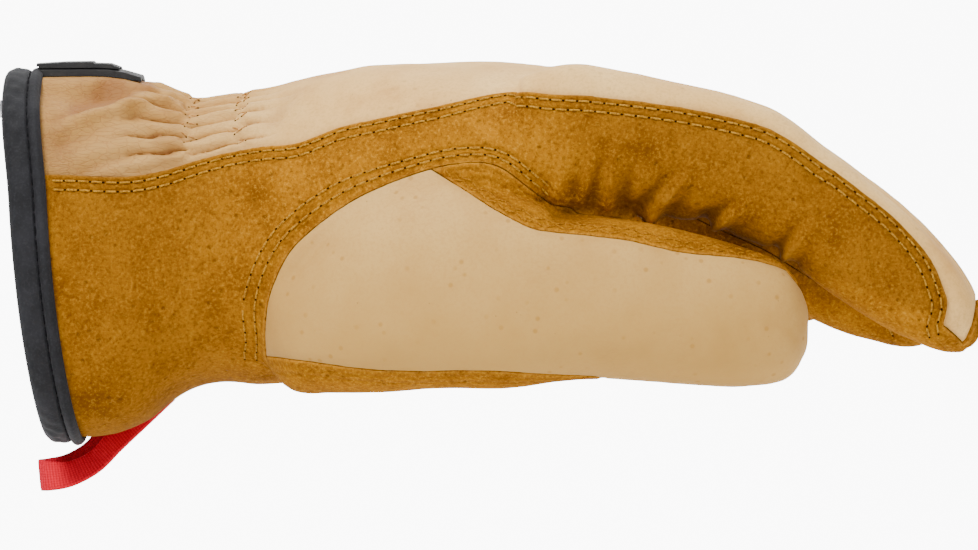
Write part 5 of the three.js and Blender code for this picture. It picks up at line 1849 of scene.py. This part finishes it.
class GLOVE_OT_pull_loop(bpy.types.Operator):
    """Makes the webbing loop under the wrist as one band, out and back"""

    bl_idname = "glove.pull_loop"
    bl_label = "Pull Loop"

    def execute(self, context):
        rows = [LOOP_ROWS["at"] * PALM_LENGTH, LOOP_ROWS["spread"], LOOP_ROWS["up"] * HAND_HEIGHT]
        path = through(np.stack(rows, -1), 12)
        path = path[path[:, 0] < 30]
        out = path.copy()
        out[:, 1] = LOOP_SIDE - np.clip(path[:, 1], 0, None) * LOOP_SPREAD / 2 - LOOP_THICKNESS * 0.4
        back = path[::-1].copy()
        back[:, 1] = LOOP_SIDE + np.clip(path[::-1, 1], 0, None) * LOOP_SPREAD / 2 + LOOP_THICKNESS * 0.4
        middle = softened(np.vstack([out, back]), 1)
        along = np.gradient(middle, axis=0)
        along /= np.linalg.norm(along, axis=1, keepdims=True)
        line = np.gradient(path, axis=0)
        line = np.vstack([line, line[::-1]])
        wide = np.stack([-line[:, 2], np.zeros(len(line)), line[:, 0]], -1)
        wide /= np.linalg.norm(wide, axis=1, keepdims=True)
        share = np.r_[np.linspace(0, 1, len(out)), np.zeros(len(back))]
        turned = 0.85 * np.sin(np.pi * np.clip(share, 0, 1)) ** 0.8
        middle += wide * ((1 - np.cos(turned)) * LOOP_WIDTH / 2)[:, None]
        wide = wide * np.cos(turned)[:, None] - np.sin(turned)[:, None] * np.array([0.0, 1.0, 0.0])
        thick = np.cross(along, wide)
        thick /= np.linalg.norm(thick, axis=1, keepdims=True)
        turn = np.linspace(0, 2 * math.pi, 28, endpoint=False)
        across, up = rounded(turn, 5.0)
        run = np.r_[0, np.cumsum(np.linalg.norm(np.diff(middle, axis=0), axis=1))]
        rings = [
            centre + w * (across[:, None] * LOOP_WIDTH / 2) + t * (up[:, None] * LOOP_THICKNESS / 2)
            for centre, w, t in zip(middle, wide, thick)
        ]
        band = closed_rings(rings, "webbing_loop", webbing_material())
        layer = band.data.uv_layers.new(name="UVMap")
        sides = len(turn)
        # Painted highlight where the band turns, and painted shade on the far strand.
        fold_highlight = np.exp(-(((run - run[len(out)]) / 5.0) ** 2))
        inner = smooth_step(run - run[len(out)], 2.0, 6.0)
        for key, values in (("fold", fold_highlight), ("inner", inner)):
            store(band.data, key, np.repeat(values, sides))
        for polygon in band.data.polygons:
            for corner in polygon.loop_indices:
                vertex = band.data.loops[corner].vertex_index
                layer.data[corner].uv = (run[vertex // sides], across[vertex % sides] * LOOP_WIDTH / 2)
        claimed(band, "red_webbing", "pull_loop")
        return {"FINISHED"}


class GLOVE_OT_label(bpy.types.Operator):
    """Makes the small bare label that shows at the wrist opening"""

    bl_idname = "glove.label"
    bl_label = "Label"

    def execute(self, context):
        outer = -settings().leather_thickness / MM - BINDING_THICKNESS - 3 * SEAM_GAP
        left = -BINDING_WIDTH / 2 - LABEL_SHOWS
        section = [
            (left, outer),
            *((left + LABEL_LENGTH * t, outer) for t in (0.1, 0.3, 0.6, 1)),
            *((left + LABEL_LENGTH * t, outer - LABEL_THICKNESS) for t in (1, 0.6, 0.3, 0.1, 0)),
        ]
        rings = []
        for turn in np.linspace(0.60, 0.69, 14) * math.pi:
            at = np.array([turn])
            rings.append([hand_points(np.array([x / PALM_LENGTH]), at, out)[0] for x, out in section])
        claimed(closed_rings(rings, "label", label_material()), "white_label", "inner_label")
        return {"FINISHED"}


class GLOVE_OT_stage(bpy.types.Operator):
    """Sets up the pale sweep, the soft lights and the camera"""

    bl_idname = "glove.stage"
    bl_label = "Stage"

    def execute(self, context):
        scene = context.scene
        profile = [(-1.2, 0.0), (0.35, 0.0)]
        bend = np.linspace(0.1, math.pi / 2, 12)
        profile += [(0.35 + 0.25 * math.sin(a), 0.25 - 0.25 * math.cos(a)) for a in bend]
        profile.append((0.60, 1.3))
        points = [(x, y, z + FLOOR) for y, z in profile for x in (-1.6, 1.8)]
        faces = [(2 * i, 2 * i + 1, 2 * i + 3, 2 * i + 2) for i in range(len(profile) - 1)]
        mesh = bpy.data.meshes.new("sweep")
        mesh.from_pydata(points, [], faces)
        mesh.polygons.foreach_set("use_smooth", [True] * len(mesh.polygons))
        sweep = placed("sweep", mesh)
        material, nodes, shader, place = new_material("pale_paper", 0.95)
        tone = nodes.noise(place, 6.0, 2.0)
        nodes.link(nodes.mix(tone, colour(250, 250, 250), colour(253, 253, 253)), shader.inputs["Base Color"])
        shader.inputs["Specular IOR Level"].default_value = 0.1
        seen = nodes.add("ShaderNodeLightPath").outputs["Is Camera Ray"]
        glow = nodes.mix(seen, (0.0, 0.0, 0.0, 1.0), (1.0, 1.0, 1.0, 1.0))
        nodes.link(glow, shader.inputs["Emission Color"])
        shader.inputs["Emission Strength"].default_value = 8.0
        # The camera sees through the paper's back, so views from behind show the glove.
        underside = nodes.add("ShaderNodeNewGeometry").outputs["Backfacing"]
        hidden = nodes.math("MULTIPLY", underside, seen)
        nodes.link(nodes.math("SUBTRACT", 1.0, hidden), shader.inputs["Alpha"])
        mesh.materials.append(material)

        world = bpy.data.worlds.new("studio")
        scene.world = world
        world.use_nodes = True
        background = world.node_tree.nodes["Background"]
        background.inputs["Color"].default_value = (1.0, 1.0, 1.0, 1)
        background.inputs["Strength"].default_value = 0.5

        middle = Vector((0.11, 0, 0))
        for name, place, size, power in LAMPS:
            light = bpy.data.lights.new(name, "AREA")
            light.shape = "DISK"
            light.size = size
            light.energy = power
            lamp = placed(name, light)
            lamp.location = place
            lamp.rotation_euler = (middle - Vector(place)).to_track_quat("-Z", "Y").to_euler()

        camera = bpy.data.cameras.new("camera")
        camera.sensor_width = CAMERA_SENSOR
        camera.lens = CAMERA_SENSOR * CAMERA_REACH / FRAME_WIDTH
        viewer = placed("camera", camera)
        viewer.location = CAMERA_PLACE
        viewer.rotation_euler = (math.pi / 2, 0, 0)
        scene.camera = viewer
        return {"FINISHED"}


class GLOVE_PT_panel(bpy.types.Panel):
    """Lists the glove's pieces in the order in which they are made"""

    bl_idname = "GLOVE_PT_panel"
    bl_label = "Leather Glove"
    bl_space_type = "VIEW_3D"
    bl_region_type = "UI"
    bl_category = "Glove"

    def draw(self, context):
        for name in GloveSettings.__annotations__:
            self.layout.prop(context.scene.glove_settings, name)
        for operator in OPERATORS:
            self.layout.operator(operator.bl_idname)


OPERATORS = (
    GLOVE_OT_leather,
    GLOVE_OT_stitching,
    GLOVE_OT_binding,
    GLOVE_OT_wrist_tab,
    GLOVE_OT_pull_loop,
    GLOVE_OT_label,
    GLOVE_OT_stage,
)
CLASSES = (GloveSettings, *OPERATORS, GLOVE_PT_panel)


def register():
    for cls in CLASSES:
        bpy.utils.register_class(cls)
    bpy.types.Scene.glove_settings = bpy.props.PointerProperty(type=GloveSettings)


def unregister():
    del bpy.types.Scene.glove_settings
    for cls in reversed(CLASSES):
        bpy.utils.unregister_class(cls)


def main():
    register()
    bpy.ops.glove.leather()
    bpy.ops.glove.stitching()
    bpy.ops.glove.binding()
    bpy.ops.glove.wrist_tab()
    bpy.ops.glove.pull_loop()
    bpy.ops.glove.label()
    bpy.ops.glove.stage()


if __name__ == "__main__":
    main()
